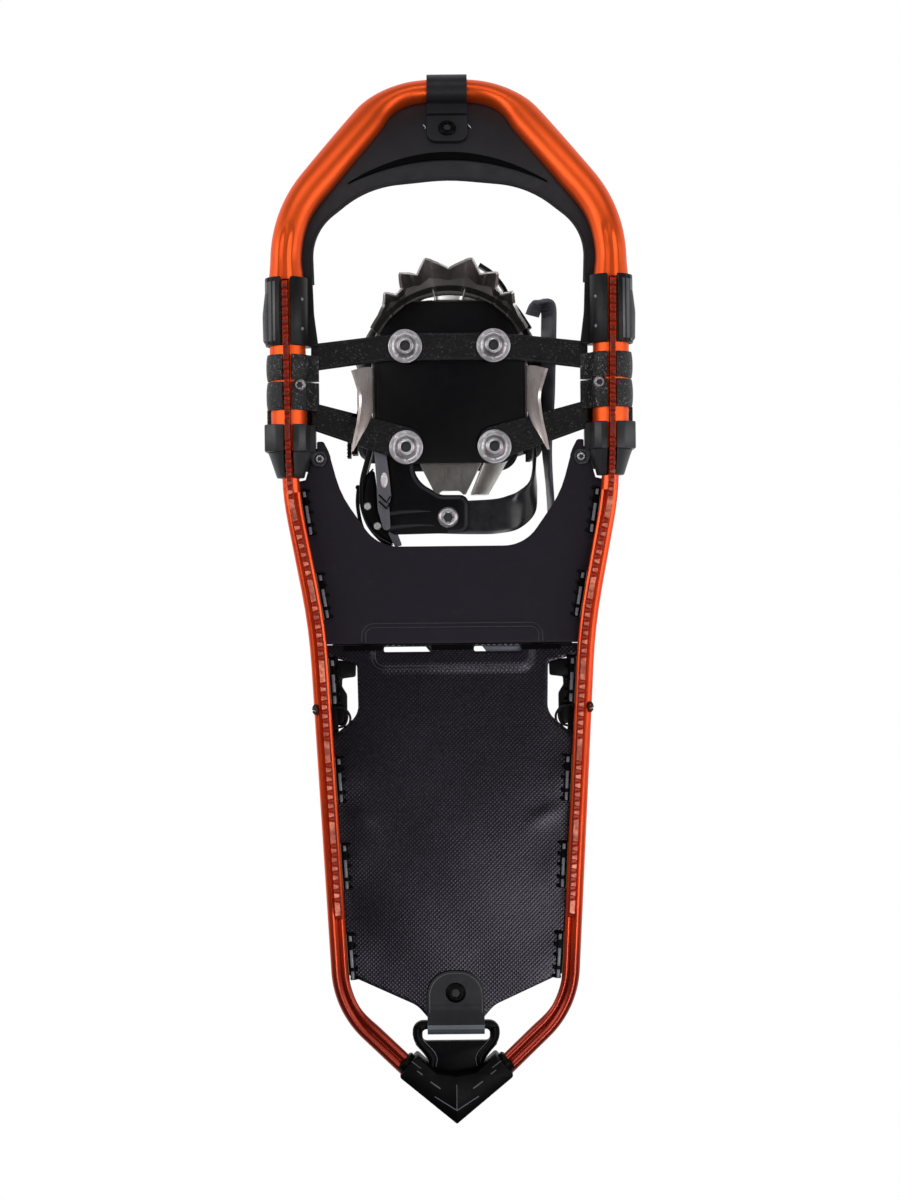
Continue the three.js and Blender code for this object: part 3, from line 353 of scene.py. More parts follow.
def tube(route, radius, sides):
    """A round rod along a route of points. radius is one number, or one for each point."""
    run = [Vector(p) for p in route]
    radii = radius if hasattr(radius, "__len__") else [radius] * len(run)
    rings = []
    side = None
    for i, here in enumerate(run):
        along = (run[min(i + 1, len(run) - 1)] - run[max(i - 1, 0)]).normalized()
        if side is None:
            side = along.orthogonal().normalized()
        side = (side - along * side.dot(along)).normalized()
        up = along.cross(side)
        turns = (2 * math.pi * k / sides for k in range(sides))
        rings.append([here + (side * math.cos(t) + up * math.sin(t)) * radii[i] for t in turns])
    return loft(rings)


def line_at(points, z, radius, sides=8):
    """A round line through plane points at one height."""
    return tube([(p.x, p.y, z) for p in points], radius, sides)


def moved(solid, fn):
    points, faces = solid
    return [tuple(fn(Vector(p))) for p in points], faces


def both(*solids):
    """Several solids as one."""
    points, faces = [], []
    for p, f in solids:
        base = len(points)
        points += list(p)
        faces += [tuple(base + i for i in face) for face in f]
    return points, faces


def flipped(solid):
    """The mirror image in X."""
    points, faces = solid
    return [(-x, y, z) for x, y, z in points], [tuple(reversed(f)) for f in faces]


def sided(sign, solid):
    """A solid of the right side, or its mirror image for the left."""
    return solid if sign > 0 else flipped(solid)


def along_tube(section, rear_y, front_y, edge):
    """A section drawn in X and Z, run along Y."""
    solid = slab([Vector(p) for p in section], rear_y, front_y, edge=edge)
    return moved(solid, lambda p: (p.x, p.z, p.y))


# ------------------------------------------------------------ pieces
SHARP = 32
WELD = 1e-6
SLOTS = {s["node"]: s["material_slot"] for s in frame["record"]["subparts"]}


def piece(name, solid, material, body, node=None, slot=None, sharp=SHARP):
    """A Blender object of a solid, which rides on its body, unless it has none. With a CAD node's name it
    stands for that node, and hides that node's part."""
    points, faces = solid
    mesh = bpy.data.meshes.new(name)
    mesh.from_pydata([Vector(p) * MM for p in points], [], faces)
    bm = bmesh.new()
    bm.from_mesh(mesh)
    bmesh.ops.remove_doubles(bm, verts=bm.verts, dist=WELD)
    bmesh.ops.dissolve_degenerate(bm, edges=bm.edges, dist=WELD / 10)
    bmesh.ops.recalc_face_normals(bm, faces=bm.faces)
    bm.to_mesh(mesh)
    bm.free()
    mesh.materials.append(material)
    mesh.polygons.foreach_set("use_smooth", [True] * len(mesh.polygons))
    mesh.set_sharp_from_angle(angle=math.radians(sharp))
    made = bpy.data.objects.new(name, mesh)
    bpy.context.scene.collection.objects.link(made)
    if body:
        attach(made, body)
    if node:
        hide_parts(node)
        slot = slot or SLOTS[node]
    return made


# ------------------------------------------------------------ materials
class Nodes:
    """A short way to wire a material's nodes."""

    def __init__(self, name):
        self.material = bpy.data.materials.new(name)
        self.material.use_nodes = True
        self.tree = self.material.node_tree
        self.shader = self.tree.nodes["Principled BSDF"]
        self.place = self.tree.nodes.new("ShaderNodeTexCoord").outputs["Object"]

    def add(self, kind, inputs=(), **settings):
        node = self.tree.nodes.new("ShaderNode" + kind)
        for key, value in settings.items():
            setattr(node, key, value)
        for key, value in dict(inputs).items():
            self.put(node.inputs[key], value)
        return node

    def put(self, socket, value):
        if isinstance(value, bpy.types.NodeSocket):
            self.tree.links.new(value, socket)
        else:
            socket.default_value = value

    def noise(self, scale, detail, roughness=0.55, place=None):
        found = self.add(
            "TexNoise",
            {"Vector": place or self.place, "Scale": scale, "Detail": detail, "Roughness": roughness},
        )
        return found.outputs["Fac"]

    def ramp(self, value, low, high, from_value=0.0, to_value=1.0):
        found = self.add(
            "MapRange",
            {"Value": value, "From Min": low, "From Max": high, "To Min": from_value, "To Max": to_value},
        )
        return found.outputs["Result"]

    def blend(self, factor, a, b):
        found = self.add("Mix", data_type="RGBA")
        self.put(found.inputs[0], factor)
        self.put(found.inputs[6], a)
        self.put(found.inputs[7], b)
        return found.outputs[2]

    def times(self, a, b):
        found = self.add("Math", operation="MULTIPLY")
        self.put(found.inputs[0], a)
        self.put(found.inputs[1], b)
        return found.outputs[0]

    def axis(self, letter):
        return self.add("SeparateXYZ", {"Vector": self.place}).outputs[letter]

    def bump(self, height, strength, distance, below=None):
        inputs = {"Height": height, "Strength": strength, "Distance": distance}
        if below:
            inputs["Normal"] = below
        return self.add("Bump", inputs).outputs["Normal"]

    def finish(self, color, roughness, normal=None, **constants):
        self.put(self.shader.inputs["Base Color"], color)
        self.put(self.shader.inputs["Roughness"], roughness)
        if normal:
            self.put(self.shader.inputs["Normal"], normal)
        for key, value in constants.items():
            self.shader.inputs[key.replace("_", " ")].default_value = value
        return self.material


def rgb(*values):
    return (*values, 1.0)


def plastic(name, color, light, roughness, grain=900.0, grain_depth=0.00004, spec=0.5):
    """Moulded plastic: a fine grain, faint flow marks in its colour and rub marks in its gloss."""
    n = Nodes(name)
    blotch = n.noise(38.0, 4.0)
    tint = n.blend(n.ramp(blotch, 0.3, 0.7), rgb(*color), rgb(*light))
    worn = n.noise(170.0, 5.0, 0.7)
    gloss = n.ramp(worn, 0.25, 0.75, roughness - 0.07, roughness + 0.1)
    fine = n.bump(n.noise(grain, 2.0), 0.5, grain_depth)
    normal = n.bump(blotch, 0.25, 0.0004, fine)
    return n.finish(tint, gloss, normal, Specular_IOR_Level=spec)


def anodised(name, color, deep, roughness):
    """Anodised aluminium: drawn lines along the tube, a little depth of colour and fine scuffs."""
    n = Nodes(name)
    cloud = n.noise(22.0, 3.0)
    tint = n.blend(n.ramp(cloud, 0.3, 0.7), rgb(*deep), rgb(*color))
    scuff = n.noise(260.0, 4.0, 0.7)
    scratched = n.ramp(scuff, 0.66, 0.8)
    tint = n.blend(n.times(scratched, 0.08), tint, rgb(0.95, 0.3, 0.12))
    gloss = n.ramp(scuff, 0.3, 0.8, roughness - 0.01, roughness + 0.03)
    normal = n.bump(n.noise(900.0, 2.0), 0.04, 0.00001)
    return n, tint, gloss, normal


def tube_material():
    n, tint, gloss, normal = anodised("orange_tube", (0.86, 0.1, 0.0105), (0.78, 0.084, 0.0085), 0.42)
    return n.finish(tint, gloss, normal, Metallic=0.8, Coat_Weight=0.06, Coat_Roughness=0.3)


def rail_material():
    """The rails: deeper orange, with painted shade that darkens them to a dark red-brown where they turn in
    to the tail.
    """
    n, tint, gloss, normal = anodised("orange_rail", (0.84, 0.085, 0.014), (0.68, 0.055, 0.01), 0.3)
    # painted shade: the rails are blended to a dark red-brown towards the tail, by Y alone
    tail = n.ramp(n.axis("Y"), -0.17, -0.24)
    tint = n.blend(n.times(tail, 0.9), tint, rgb(0.17, 0.009, 0.003))
    return n.finish(tint, gloss, normal, Metallic=0.72, Coat_Weight=0.1, Coat_Roughness=0.25)


def fin_material():
    """The fin: deep red walls and teeth with rubbed tips; the teeth inside the clamps and the slotted tube
    are painted near-black as their shade.
    """
    n, _, gloss, normal = anodised("orange_fin", (0.5, 0.04, 0.01), (0.4, 0.03, 0.008), 0.36)
    speck = n.ramp(n.noise(420.0, 3.0), 0.3, 0.6)
    # painted shade: 1 behind the clamps, 0 inside them and the tube's slot, where the teeth are kept dark
    clear_of_clamp_shade = n.ramp(n.axis("Y"), 0.075, 0.055)
    worn = n.ramp(n.noise(75.0, 3.0, 0.6), 0.38, 0.6, 0.25, 1.0)
    bright = n.blend(speck, rgb(0.72, 0.09, 0.035), rgb(0.95, 0.34, 0.22))
    # dull teeth: less rubbed teeth, and the painted shade of the teeth inside the clamps
    dull_and_clamp_shaded = n.blend(speck, rgb(0.08, 0.008, 0.004), rgb(0.24, 0.024, 0.012))
    tips = n.ramp(n.axis("Z"), 0.0016, 0.0006)
    teeth = n.blend(n.times(clear_of_clamp_shade, worn), dull_and_clamp_shaded, bright)
    tint = n.blend(tips, rgb(0.4, 0.026, 0.007), teeth)
    return n.finish(tint, gloss, normal, Metallic=0.15, Specular_IOR_Level=0.4)


def deck_material(name, weave, color, light, roughness, spec=0.22):
    """Coated deck sheet: a film over a fine diagonal weave, with soft waves and rubbed patches."""
    n = Nodes(name)
    turned = n.add("Mapping", {"Vector": n.place, "Rotation": (0, 0, math.radians(45))}).outputs[0]
    threads = []
    for direction in ("X", "Y"):
        wave = n.add(
            "TexWave",
            {"Vector": turned, "Scale": 175.0, "Distortion": 0.3, "Detail": 1.0},
            wave_type="BANDS",
            bands_direction=direction,
        )
        threads.append(wave.outputs["Fac"])
    cloth = n.times(*threads)
    cloud = n.noise(16.0, 4.0)
    tint = n.blend(n.ramp(cloud, 0.3, 0.72), rgb(*color), rgb(*light))
    dust = n.ramp(n.noise(95.0, 7.0, 0.7), 0.55, 0.8)
    tint = n.blend(n.times(dust, 0.1), tint, rgb(0.06, 0.058, 0.062))
    gloss = n.ramp(n.noise(420.0, 3.0), 0.3, 0.7, roughness - 0.02, roughness + 0.03)
    fine = n.bump(cloth, weave, 0.00016)
    normal = n.bump(n.noise(24.0, 1.5), 0.3, 0.001, fine)
    return n.finish(tint, gloss, normal, Specular_IOR_Level=spec, Specular_Tint=rgb(0.9, 0.84, 1.0))


def webbing_material(name, color, light, sheen):
    """Rubber-coated webbing: a pitted coat over a close weave, with bright specks that are partly worn spots
    and partly painted glints of the coat.
    """
    n = Nodes(name)
    weave = n.add(
        "TexVoronoi",
        {"Vector": n.place, "Scale": 700.0, "Randomness": 0.6},
        feature="F1",
    ).outputs["Distance"]
    pits = n.noise(820.0, 4.0, 0.8)
    patch = n.ramp(n.noise(90.0, 4.0, 0.7), 0.42, 0.62, 0.25, 1.0)
    # bright specks in patches: worn spots, and painted glints of the coat's sheen
    speck = n.times(n.ramp(pits, 0.57, 0.66), patch)
    tint = n.blend(speck, rgb(*color), rgb(*light))
    gloss = n.ramp(pits, 0.3, 0.7, 0.34, 0.6)
    fine = n.bump(pits, 0.9, 0.0003)
    normal = n.bump(weave, 0.5, 0.00025, fine)
    return n.finish(tint, gloss, normal, Specular_IOR_Level=sheen)


def steel_material(name, color, dark, roughness, brown=None, metallic=1.0):
    """Bare or plated steel: rolling lines, stains and a bright rubbed sheen."""
    n = Nodes(name)
    stretched = n.add("Mapping", {"Vector": n.place, "Scale": (1.0, 0.12, 1.0)}).outputs[0]
    lines = n.noise(900.0, 3.0, 0.6, stretched)
    stain = n.noise(60.0, 5.0, 0.65)
    tint = n.blend(n.ramp(stain, 0.35, 0.7), rgb(*color), rgb(*dark))
    if brown:
        cast = n.ramp(n.noise(34.0, 2.0), 0.45, 0.62)
        tint = n.blend(n.times(cast, 0.6), tint, rgb(*brown))
    gloss = n.ramp(lines, 0.3, 0.7, roughness - 0.015, roughness + 0.03)
    normal = n.bump(lines, 0.05, 0.00002)
    return n.finish(tint, gloss, normal, Metallic=metallic)


def socket_shade_material():
    # painted shade: the near-black for the bottoms of rivet and bolt recesses
    n = Nodes("socket_painted_shade")
    dust = n.noise(700.0, 3.0)
    return n.finish(n.blend(dust, rgb(0.004, 0.004, 0.005), rgb(0.02, 0.02, 0.022)), 0.6)


TUBE_LOOK = tube_material()
RAIL_LOOK = rail_material()
FIN_LOOK = fin_material()
CLAMP_LOOK = plastic("clamp_plastic", (0.012, 0.0125, 0.0145), (0.02, 0.021, 0.024), 0.42)
COLLAR_LOOK = plastic("collar_plastic", (0.0035, 0.0035, 0.0042), (0.0065, 0.0066, 0.0078), 0.38, spec=0.2)
WING_LOOK = plastic("collar_wing", (0.045, 0.046, 0.05), (0.08, 0.082, 0.088), 0.36)
# painted shade: near-black for the nose deck's crease, the seam under the rear deck and the ladder strap's
# grooves
SHADE_LOOK = plastic("painted_shade_line", (0.0008, 0.0007, 0.001), (0.0016, 0.0014, 0.002), 0.6, spec=0.04)
DECK_PLASTIC = plastic(
    "nose_plastic", (0.0075, 0.0062, 0.0085), (0.012, 0.0105, 0.0135), 0.46, 1300.0, spec=0.28
)
CAP_LOOK = plastic("cap_plastic", (0.0008, 0.0008, 0.0012), (0.0018, 0.0018, 0.0025), 0.42, spec=0.07)
EDGE_LOOK = plastic("edge_plastic", (0.05, 0.05, 0.056), (0.13, 0.13, 0.145), 0.4)
FOLD_LOOK = plastic("fold_rubber", (0.08, 0.094, 0.11), (0.108, 0.126, 0.146), 0.42)
TAB_LOOK = plastic("tab_rubber", (0.0075, 0.0074, 0.0102), (0.014, 0.0142, 0.0186), 0.46, 1500.0, spec=0.26)
# grey plastic for the heel lift's bar and the collar's bolts, and the painted highlight on the clips' bars
GREY_AND_HIGHLIGHT_LOOK = plastic("grey_plastic_and_clip_highlight", (0.12, 0.125, 0.15), (0.2, 0.21, 0.25), 0.35)
BLACK_LOOK = plastic("binding_plastic", (0.0016, 0.0014, 0.002), (0.0028, 0.0025, 0.0034), 0.4, spec=0.1)
BAND_LOOK = plastic("band_plastic", (0.006, 0.006, 0.008), (0.011, 0.011, 0.0135), 0.3, 1600.0, 0.00002, 0.45)
THREAD_LOOK = plastic("cord", (0.09, 0.085, 0.035), (0.16, 0.15, 0.07), 0.5)
STRAP_LOOK = plastic("ladder_strap", (0.07, 0.07, 0.085), (0.11, 0.11, 0.13), 0.45)
FRONT_DECK_LOOK = deck_material(
    "front_deck_sheet", 0.1, (0.0082, 0.0062, 0.0102), (0.0115, 0.009, 0.0142), 0.5
)
REAR_DECK_LOOK = deck_material(
    "rear_deck_sheet", 0.42, (0.0036, 0.0028, 0.0046), (0.0062, 0.005, 0.0078), 0.265, spec=0.3
)
# the webbing's and the sleeves' light colour is for the bright specks: worn spots and painted glints
WEBBING_LOOK = webbing_material("webbing", (0.0012, 0.0011, 0.0015), (0.13, 0.128, 0.14), 0.22)
SLEEVE_LOOK = webbing_material("sleeve_webbing", (0.002, 0.002, 0.0028), (0.5, 0.5, 0.53), 0.35)
ZINC_LOOK = steel_material("zinc_steel", (0.62, 0.6, 0.63), (0.34, 0.33, 0.35), 0.42)
CRAMPON_LOOK = steel_material("crampon_steel", (0.46, 0.435, 0.42), (0.3, 0.272, 0.26), 0.3)
# bright steel for the rivets, and the painted highlight on the crampon's folds and cut edges
BRIGHT_STEEL_AND_HIGHLIGHT_LOOK = steel_material("bright_steel_and_edge_highlight", (0.85, 0.83, 0.82), (0.62, 0.6, 0.59), 0.3, metallic=0.35)
BLADE_LOOK = steel_material("blade_steel", (0.95, 0.9, 0.89), (0.7, 0.62, 0.59), 0.28, (0.6, 0.46, 0.41), 0.6)
SOCKET_SHADE_LOOK = socket_shade_material()


# ------------------------------------------------------------ frame lines
def rise(y):
    """How far the nose is turned up at a place along the shoe."""
    return NOSE_RISE * (max(0.0, y - BEND_Y) / (NOSE_CENTRE_Y - BEND_Y)) ** 1.7


def side_x(y):
    """The X of the tube's straight side, which the rail's front end shares."""
    return mix(FORK_END[0], SHOULDER[0], (y - FORK_END[1]) / (SHOULDER[1] - FORK_END[1]))


RAIL_LINE = [
    (side_x(FORK_FRONT_Y), FORK_FRONT_Y, 0),
    (side_x(59), 59, 200),
    (80.5, -21.4, 350),
    (68, -248.7, 55),
    (14, -300.5, 0),
]
RAIL_POINTS = resample(outline(RAIL_LINE, 2, closed=False), 4)


def rail_x(y):
    if y > FORK_FRONT_Y - 1:
        return side_x(y)
    for a, b in zip(RAIL_POINTS, RAIL_POINTS[1:]):
        if a.y >= y >= b.y:
            return mix(a.x, b.x, (a.y - y) / (a.y - b.y))
    return RAIL_POINTS[-1].x


def fork_growth(y):
    """How much fuller the tube is where it is bored for the rail."""
    return (TUBE_FORK_R - TUBE_R) * (1 - smoothstep(y, 180, 200))


def half_width(y):
    return TUBE_R + fork_growth(y) - (TUBE_R - TUBE_NOSE_HALF) * smoothstep(y, 286, 307)


def half_height(y):
    return TUBE_R + fork_growth(y)


def swell(y):
    """The hoop is a little wider where it bends in towards the nose."""
    return 0.85 * smoothstep(y, 222, 250) * (1 - smoothstep(y, 285, 302))


def tube_frames(plan):
    """The centre, outward and upward directions at each point of the tube's plan line."""
    frames = []
    for i, point in enumerate(plan):
        ahead, behind = plan[min(i + 1, len(plan) - 1)], plan[max(i - 1, 0)]
        along = Vector((ahead.x - behind.x, ahead.y - behind.y, rise(ahead.y) - rise(behind.y))).normalized()
        out = Vector((along.y, -along.x, 0)).normalized()
        frames.append((Vector((point.x, point.y, AXIS_Z + rise(point.y))), out, out.cross(along)))
    return frames


TUBE_PLAN = resample(outline(TUBE_LINE, 2, closed=False), 5)

# ------------------------------------------------------------ nose tube and rails
FORK_JOIN_Y = 186.5
BORE_R = BEAD_R + 2 * GAP
SLOT_HALF = FIN_T / 2 + GAP
GROOVE_DEPTH = 2.4


RING_STEPS = 44


def slotted_ring(outer_x, outer_z, slot_half):
    """A C in (out, up) coordinates: an outer oval, the rail's bore and a slot at the bottom."""
    ring = []
    for wide, high, way in ((outer_x, outer_z, 1), (BORE_R, BORE_R, -1)):
        lean = math.asin(slot_half / wide)
        ends = (lean - math.pi / 2, 3 * math.pi / 2 - lean)[::way]
        turns = (mix(*ends, k / RING_STEPS) for k in range(RING_STEPS + 1))
        ring += [(wide * math.cos(t), high * math.sin(t)) for t in turns]
    return ring


def groove(y, turn):
    """How far the tube's underside is pressed in, in front of the slot: a valley that fades out forwards."""
    away = abs(math.remainder(turn + math.pi / 2, 2 * math.pi))
    across = 1 - smoothstep(away, math.radians(9), math.radians(27))
    return GROOVE_DEPTH * across * (1 - smoothstep(y, 207, 219))


def nose_tube():
    """The hoop with its pressed underside, and its two bored and slotted ends."""
    sides = 80
    frames = tube_frames(TUBE_PLAN)
    middle = [f for f in frames if f[0].y >= FORK_JOIN_Y - 3]
    rings = []
    for centre, out, up in middle:
        ring = []
        for k in range(sides):
            t = 2 * math.pi * k / sides
            share = 1 - groove(centre.y, t) / TUBE_R
            wide = (half_width(centre.y) + swell(centre.y)) * share
            high = half_height(centre.y) * share
            middle_x = wide * math.cos(t) - swell(centre.y)
            ring.append(centre + out * middle_x + up * high * math.sin(t))
        rings.append(ring)
    solids = [loft(rings)]
    for side in (1, -1):
        rings = []
        for centre, out, up in (f for f in frames if f[0].y < FORK_JOIN_Y + 2 and f[0].x * side > 0):
            section = slotted_ring(half_width(centre.y), half_height(centre.y), SLOT_HALF)
            rings.append([centre + out * x + up * z for x, z in section])
        solids.append(loft(rings))
    return both(*solids)


piece("tube_hoop", nose_tube(), TUBE_LOOK, "frame", "front_tube", sharp=40)

LAND_HALF = 1.15
VALLEY_HALF = 0.55
INNER_SHARE = 0.62  # the teeth are narrower on their inner face
FIN_EDGE = 0.3
FIN_FOOT_Z = AXIS_Z - BEAD_R
FIN_TOP_Z = AXIS_Z - 0.4
FIN_SHIFT = 2.1


def fin_stations():
    """(y on the outer face, y on the inner face, lower edge) along the fin, from the front to the rear."""
    stations = []
    count = math.floor((FORK_FRONT_Y - FIN_REAR_Y) / TOOTH_PITCH)
    for k in range(count + 1):
        y = FORK_FRONT_Y - k * TOOTH_PITCH
        end = k in (0, count)
        low = FIN_FOOT_Z if end else 0
        stations.append((y + LAND_HALF * (not end), y + LAND_HALF * INNER_SHARE * (not end), low))
        if not end:
            stations.append((y - LAND_HALF, y - LAND_HALF * INNER_SHARE, low))
        if k % TEETH_IN_GROUP < TEETH_IN_GROUP - PLAIN_TEETH and k < count:
            valley = y - TOOTH_PITCH / 2
            wide = VALLEY_HALF / INNER_SHARE
            stations.append((valley + VALLEY_HALF, valley + wide, TOOTH_DEPTH))
            stations.append((valley - VALLEY_HALF, valley - wide, TOOTH_DEPTH))
    return stations


def fin_shift(y):
    """How far the fin stands inside the bead's centre line: not at all in the clamps, more behind them."""
    return FIN_SHIFT * (1 - smoothstep(y, 0, 64))


def rail_normal(y):
    slope = (rail_x(y + 2) - rail_x(y - 2)) / 4
    return Vector((1, -slope)).normalized()


def beside_rail(y, offset):
    """A place on the right rail, moved outwards by an offset."""
    return Vector((rail_x(y), y)) + rail_normal(y) * offset


def rail_section(y):
    """The rail behind the clamps in (out, up): two rounded ridges with a groove between, and a flat top."""
    grow = 1 - smoothstep(y, -266, -250)
    inner_r = mix(2.2, 2.9, grow)
    inner_x = -0.75 - inner_r
    section = arc(2.05, -1.0, 3.15, -160, 70, 26)
    section += [(-1.0, 1.9), (inner_x - 1.4, 1.8)]
    return section + arc(inner_x, -0.4, inner_r, 150, 328, 18)


def rail():
    """The extruded rail: a round bead in the tube and a two-ridged section behind it."""
    bead = line_at([p for p in RAIL_POINTS if p.y > 58], AXIS_Z, BEAD_R, 32)
    rows = []
    for y in (p.y for p in RAIL_POINTS if p.y < 66):
        rows.append([(*beside_rail(y, out), AXIS_Z + up) for out, up in rail_section(y)])
    return both(bead, loft(rows))


def fin():
    """The toothed fin that stands under the rail."""
    rings = []
    for outer_y, inner_y, low in fin_stations():
        normal = rail_normal(outer_y)
        outer = Vector((rail_x(outer_y) - fin_shift(outer_y), outer_y)) + normal * FIN_T / 2
        inner = Vector((rail_x(inner_y) - fin_shift(inner_y), inner_y)) - normal * FIN_T / 2
        trim = normal * FIN_EDGE
        rings.append(
            [
                (*(outer - trim), low),
                (*outer, low + FIN_EDGE),
                (*outer, FIN_TOP_Z),
                (*inner, FIN_TOP_Z),
                (*inner, low + FIN_EDGE),
                (*(inner + trim), low),
            ]
        )
    return loft(rings)


for side, sign in SIDES:
    piece(f"rail_rod_{side}", sided(sign, rail()), RAIL_LOOK, "frame", f"rail_{side}", sharp=24)
    piece(f"rail_fin_{side}", sided(sign, fin()), FIN_LOOK, "frame", slot="orange_rail", sharp=24)

# ------------------------------------------------------------ tail cap
CAP_LOW = 9.5
CAP_HIGH = 28.5
CAP_POINT = [(0, TAIL_Y, 1), (34.5, -289, 2.2), (23.6, -276.6, 1.6), (12, -287, 2), (0, -289, 0)]
ANCHOR_Y = -260.4
ANCHOR_HALF = 2.5
NECK_OUTER = [(26.1, -266.3), (24.3, -271.6), (19.4, -277.2), (16.9, -281.6), (17.6, -285.6), (20, -289)]
NECK_INNER = [(20.2, -268.4), (17.6, -271.4), (13.6, -275.8), (11.6, -280), (12.4, -285), (14.4, -289)]


def tail_cap():
    """The vee with its sockets, and the loop on a roped neck that holds the tail tab."""
    vee = slab(outline(mirrored(CAP_POINT), 12), CAP_LOW, CAP_HIGH, edge=1.1)
    side = [(x, y, 0) for x, y in smooth_line(NECK_OUTER, 5)]
    web = [(0, -293, 0), (14, -293, 0), *reversed(side), (26.2, ANCHOR_Y + ANCHOR_HALF, 6.5)]
    gap = [(20.2, -270, 2.4), (20.2, ANCHOR_Y - ANCHOR_HALF, 2.4)]
    loop = slab(outline(mirrored(web), 8), 19.5, 24.5, [outline(mirrored(gap), 12)], edge=0.6)
    solids = [vee, loop]
    rope = [(23.2, -262)] + [((a[0] + b[0]) / 2, (a[1] + b[1]) / 2) for a, b in zip(NECK_OUTER, NECK_INNER)]
    for sign in (1, -1):
        solids.append(tube([(sign * p[0], p[1], 20.6) for p in smooth_line(rope, 6)], 2.7, 20))
        mouth = Vector((sign * 29.2, -283.4))
        along = Vector((-sign * 0.72, -0.69))
        ends = [(*(mouth - along * d), AXIS_Z) for d in (3.4, 2.9, -1)]
        solids.append(tube(ends, [BEAD_R + 0.9, BEAD_R + 1.5, BEAD_R + 1.7], 28))
    return both(*solids)


def cap_lines():
    """The cap's fine raised lines: a chevron, dashes beside it and a short centre line."""
    z = CAP_LOW - 0.05
    solids = [tube([(0, -293.8, z), (0, -309, z)], 0.25, 8)]
    for sign in (1, -1):
        for a, b, radius in (
            ((13.2, -300.8), (0, -309.2), 0.32),
            ((15.6, -292), (9.8, -296.2), 0.42),
            ((23.5, -285.4), (20.3, -287.8), 0.38),
            ((26.6, -279.8), (21.2, -284), 0.26),
        ):
            solids.append(tube([(sign * a[0], a[1], z), (sign * b[0], b[1], z)], radius, 8))
        for line in (NECK_OUTER[1:-1], NECK_INNER[:-1]):
            rim = [(sign * p[0], p[1], 18.9) for p in smooth_line(line, 6)]
            solids.append(tube(rim, 0.22, 8))
    return both(*solids)


piece("tail_vee", tail_cap(), CAP_LOOK, "frame", "tail_cap")
piece("tail_lines", cap_lines(), EDGE_LOOK, "frame", slot="black_plastic")

# ------------------------------------------------------------ clamps on the tube
COLLAR_R = 13.0
COLLAR_FRONT_Y = 187.4
COLLAR_REAR_Y = 146.6
CHEEK_Y = 166.0
FIN_ROOM_HALF = FIN_T / 2 + 1.4
SEAT_R = TUBE_FORK_R + GAP


def slot_lean(radius):
    """Half the angle that the fin's slot takes from a clamp of a radius, in degrees."""
    return math.degrees(math.asin(FIN_ROOM_HALF / radius))


def seat(x):
    """The inner side of a clamp, from its slot's left edge over the tube to its right edge."""
    lean = slot_lean(SEAT_R)
    return arc(x, AXIS_Z, SEAT_R, 270 - lean, -90 + lean, 36)


def rounded_box(low, high, edge):
    x0, y0, z0 = low
    x1, y1, z1 = high
    return slab([Vector(p) for p in ((x0, y0), (x1, y0), (x1, y1), (x0, y1))], z0, z1, edge=edge)


def front_collar():
    """The front clamp: a split ring, the arm that holds the nose deck, and ribs along its cheeks."""
    x = side_x((COLLAR_FRONT_Y + COLLAR_REAR_Y) / 2)
    lean = slot_lean(COLLAR_R)
    drop = math.degrees(math.asin(1.0 / COLLAR_R))
    section = arc(x, AXIS_Z, COLLAR_R, -90 + lean, 90)
    section += [(83, 28), (83, 20)]
    section += arc(x, AXIS_Z, COLLAR_R, 180 - drop, 270 - lean)
    section += seat(x)
    ring = along_tube(section, COLLAR_REAR_Y, COLLAR_FRONT_Y, edge=0.55)
    arm = [(88, 188.5), (81.6, 188.5), (80.8, 166, 30), (78.4, 147, 1.5), (88, 146.8)]
    solids = [ring, slab(outline(arm, 12), 19.6, 22.2, edge=0.6)]
    for angle, radius in ((-74, 0.5), (-52, 0.7), (-36, 0.5)):
        t = math.radians(angle)
        across, up = x + (COLLAR_R - 0.1) * math.cos(t), AXIS_Z + (COLLAR_R - 0.1) * math.sin(t)
        ends = [(across, y, up) for y in (COLLAR_REAR_Y + 0.8, COLLAR_FRONT_Y - 0.8)]
        solids.append(tube(ends, radius, 10))
    inner_rail = [(x - FIN_ROOM_HALF - 2.6, 7.1), (x - FIN_ROOM_HALF - 0.4, 6.3)]
    inner_rail += [(x - FIN_ROOM_HALF - 0.4, 8.5), (x - FIN_ROOM_HALF - 2.6, 8.5)]
    solids.append(along_tube(inner_rail, COLLAR_REAR_Y + 1, COLLAR_FRONT_Y - 1, edge=0.4))
    return both(*solids)


def collar_wing():
    """The pale wing on the collar's outer cheek."""
    x = side_x(CHEEK_Y)
    wing = [(x + 8, 147.6, 1), (x + 13.9, 147.8, 2), (x + 14.2, 165, 20)]
    wing += [(x + 12.6, 178.4, 1.5), (x + 8, 178.4)]
    cheek = arc(x, AXIS_Z, COLLAR_R + 0.3, -62, -16, 12)
    cheek += arc(x, AXIS_Z, COLLAR_R - 0.8, -16, -62, 12)
    return both(slab(outline(wing, 12), 12, 26, edge=1.3), along_tube(cheek, 149, 184.6, edge=0.25))


def collar_screws():
    """Two small bolts in the collar's inner cheek."""
    x = side_x(CHEEK_Y)
    solids = []
    turn = math.radians(222)
    out = Vector((math.cos(turn), 0, math.sin(turn)))
    for y in (156.4, 174):
        base = Vector((x, y, AXIS_Z)) + out * (COLLAR_R - 0.4)
        solids.append(tube([base, base + out * 0.6, base + out * 0.8], [1.0, 1.0, 0.6], 14))
    return both(*solids)


CLAMP_FRONT_Y = 99.6
CLAMP_REAR_Y = 83.4
CONE_REAR_Y = 68.0
CORNER_RIVET = (78.4, 79.5)
CONE = [
    (CLAMP_REAR_Y + 1, 12.4),
    (CLAMP_REAR_Y - 0.6, 12.9),
    (79.5, 11.7),
    (74.5, 10.1),
    (70.4, 8.9),
    (CONE_REAR_Y + 0.4, 8.3),
    (CONE_REAR_Y, 7.9),
]


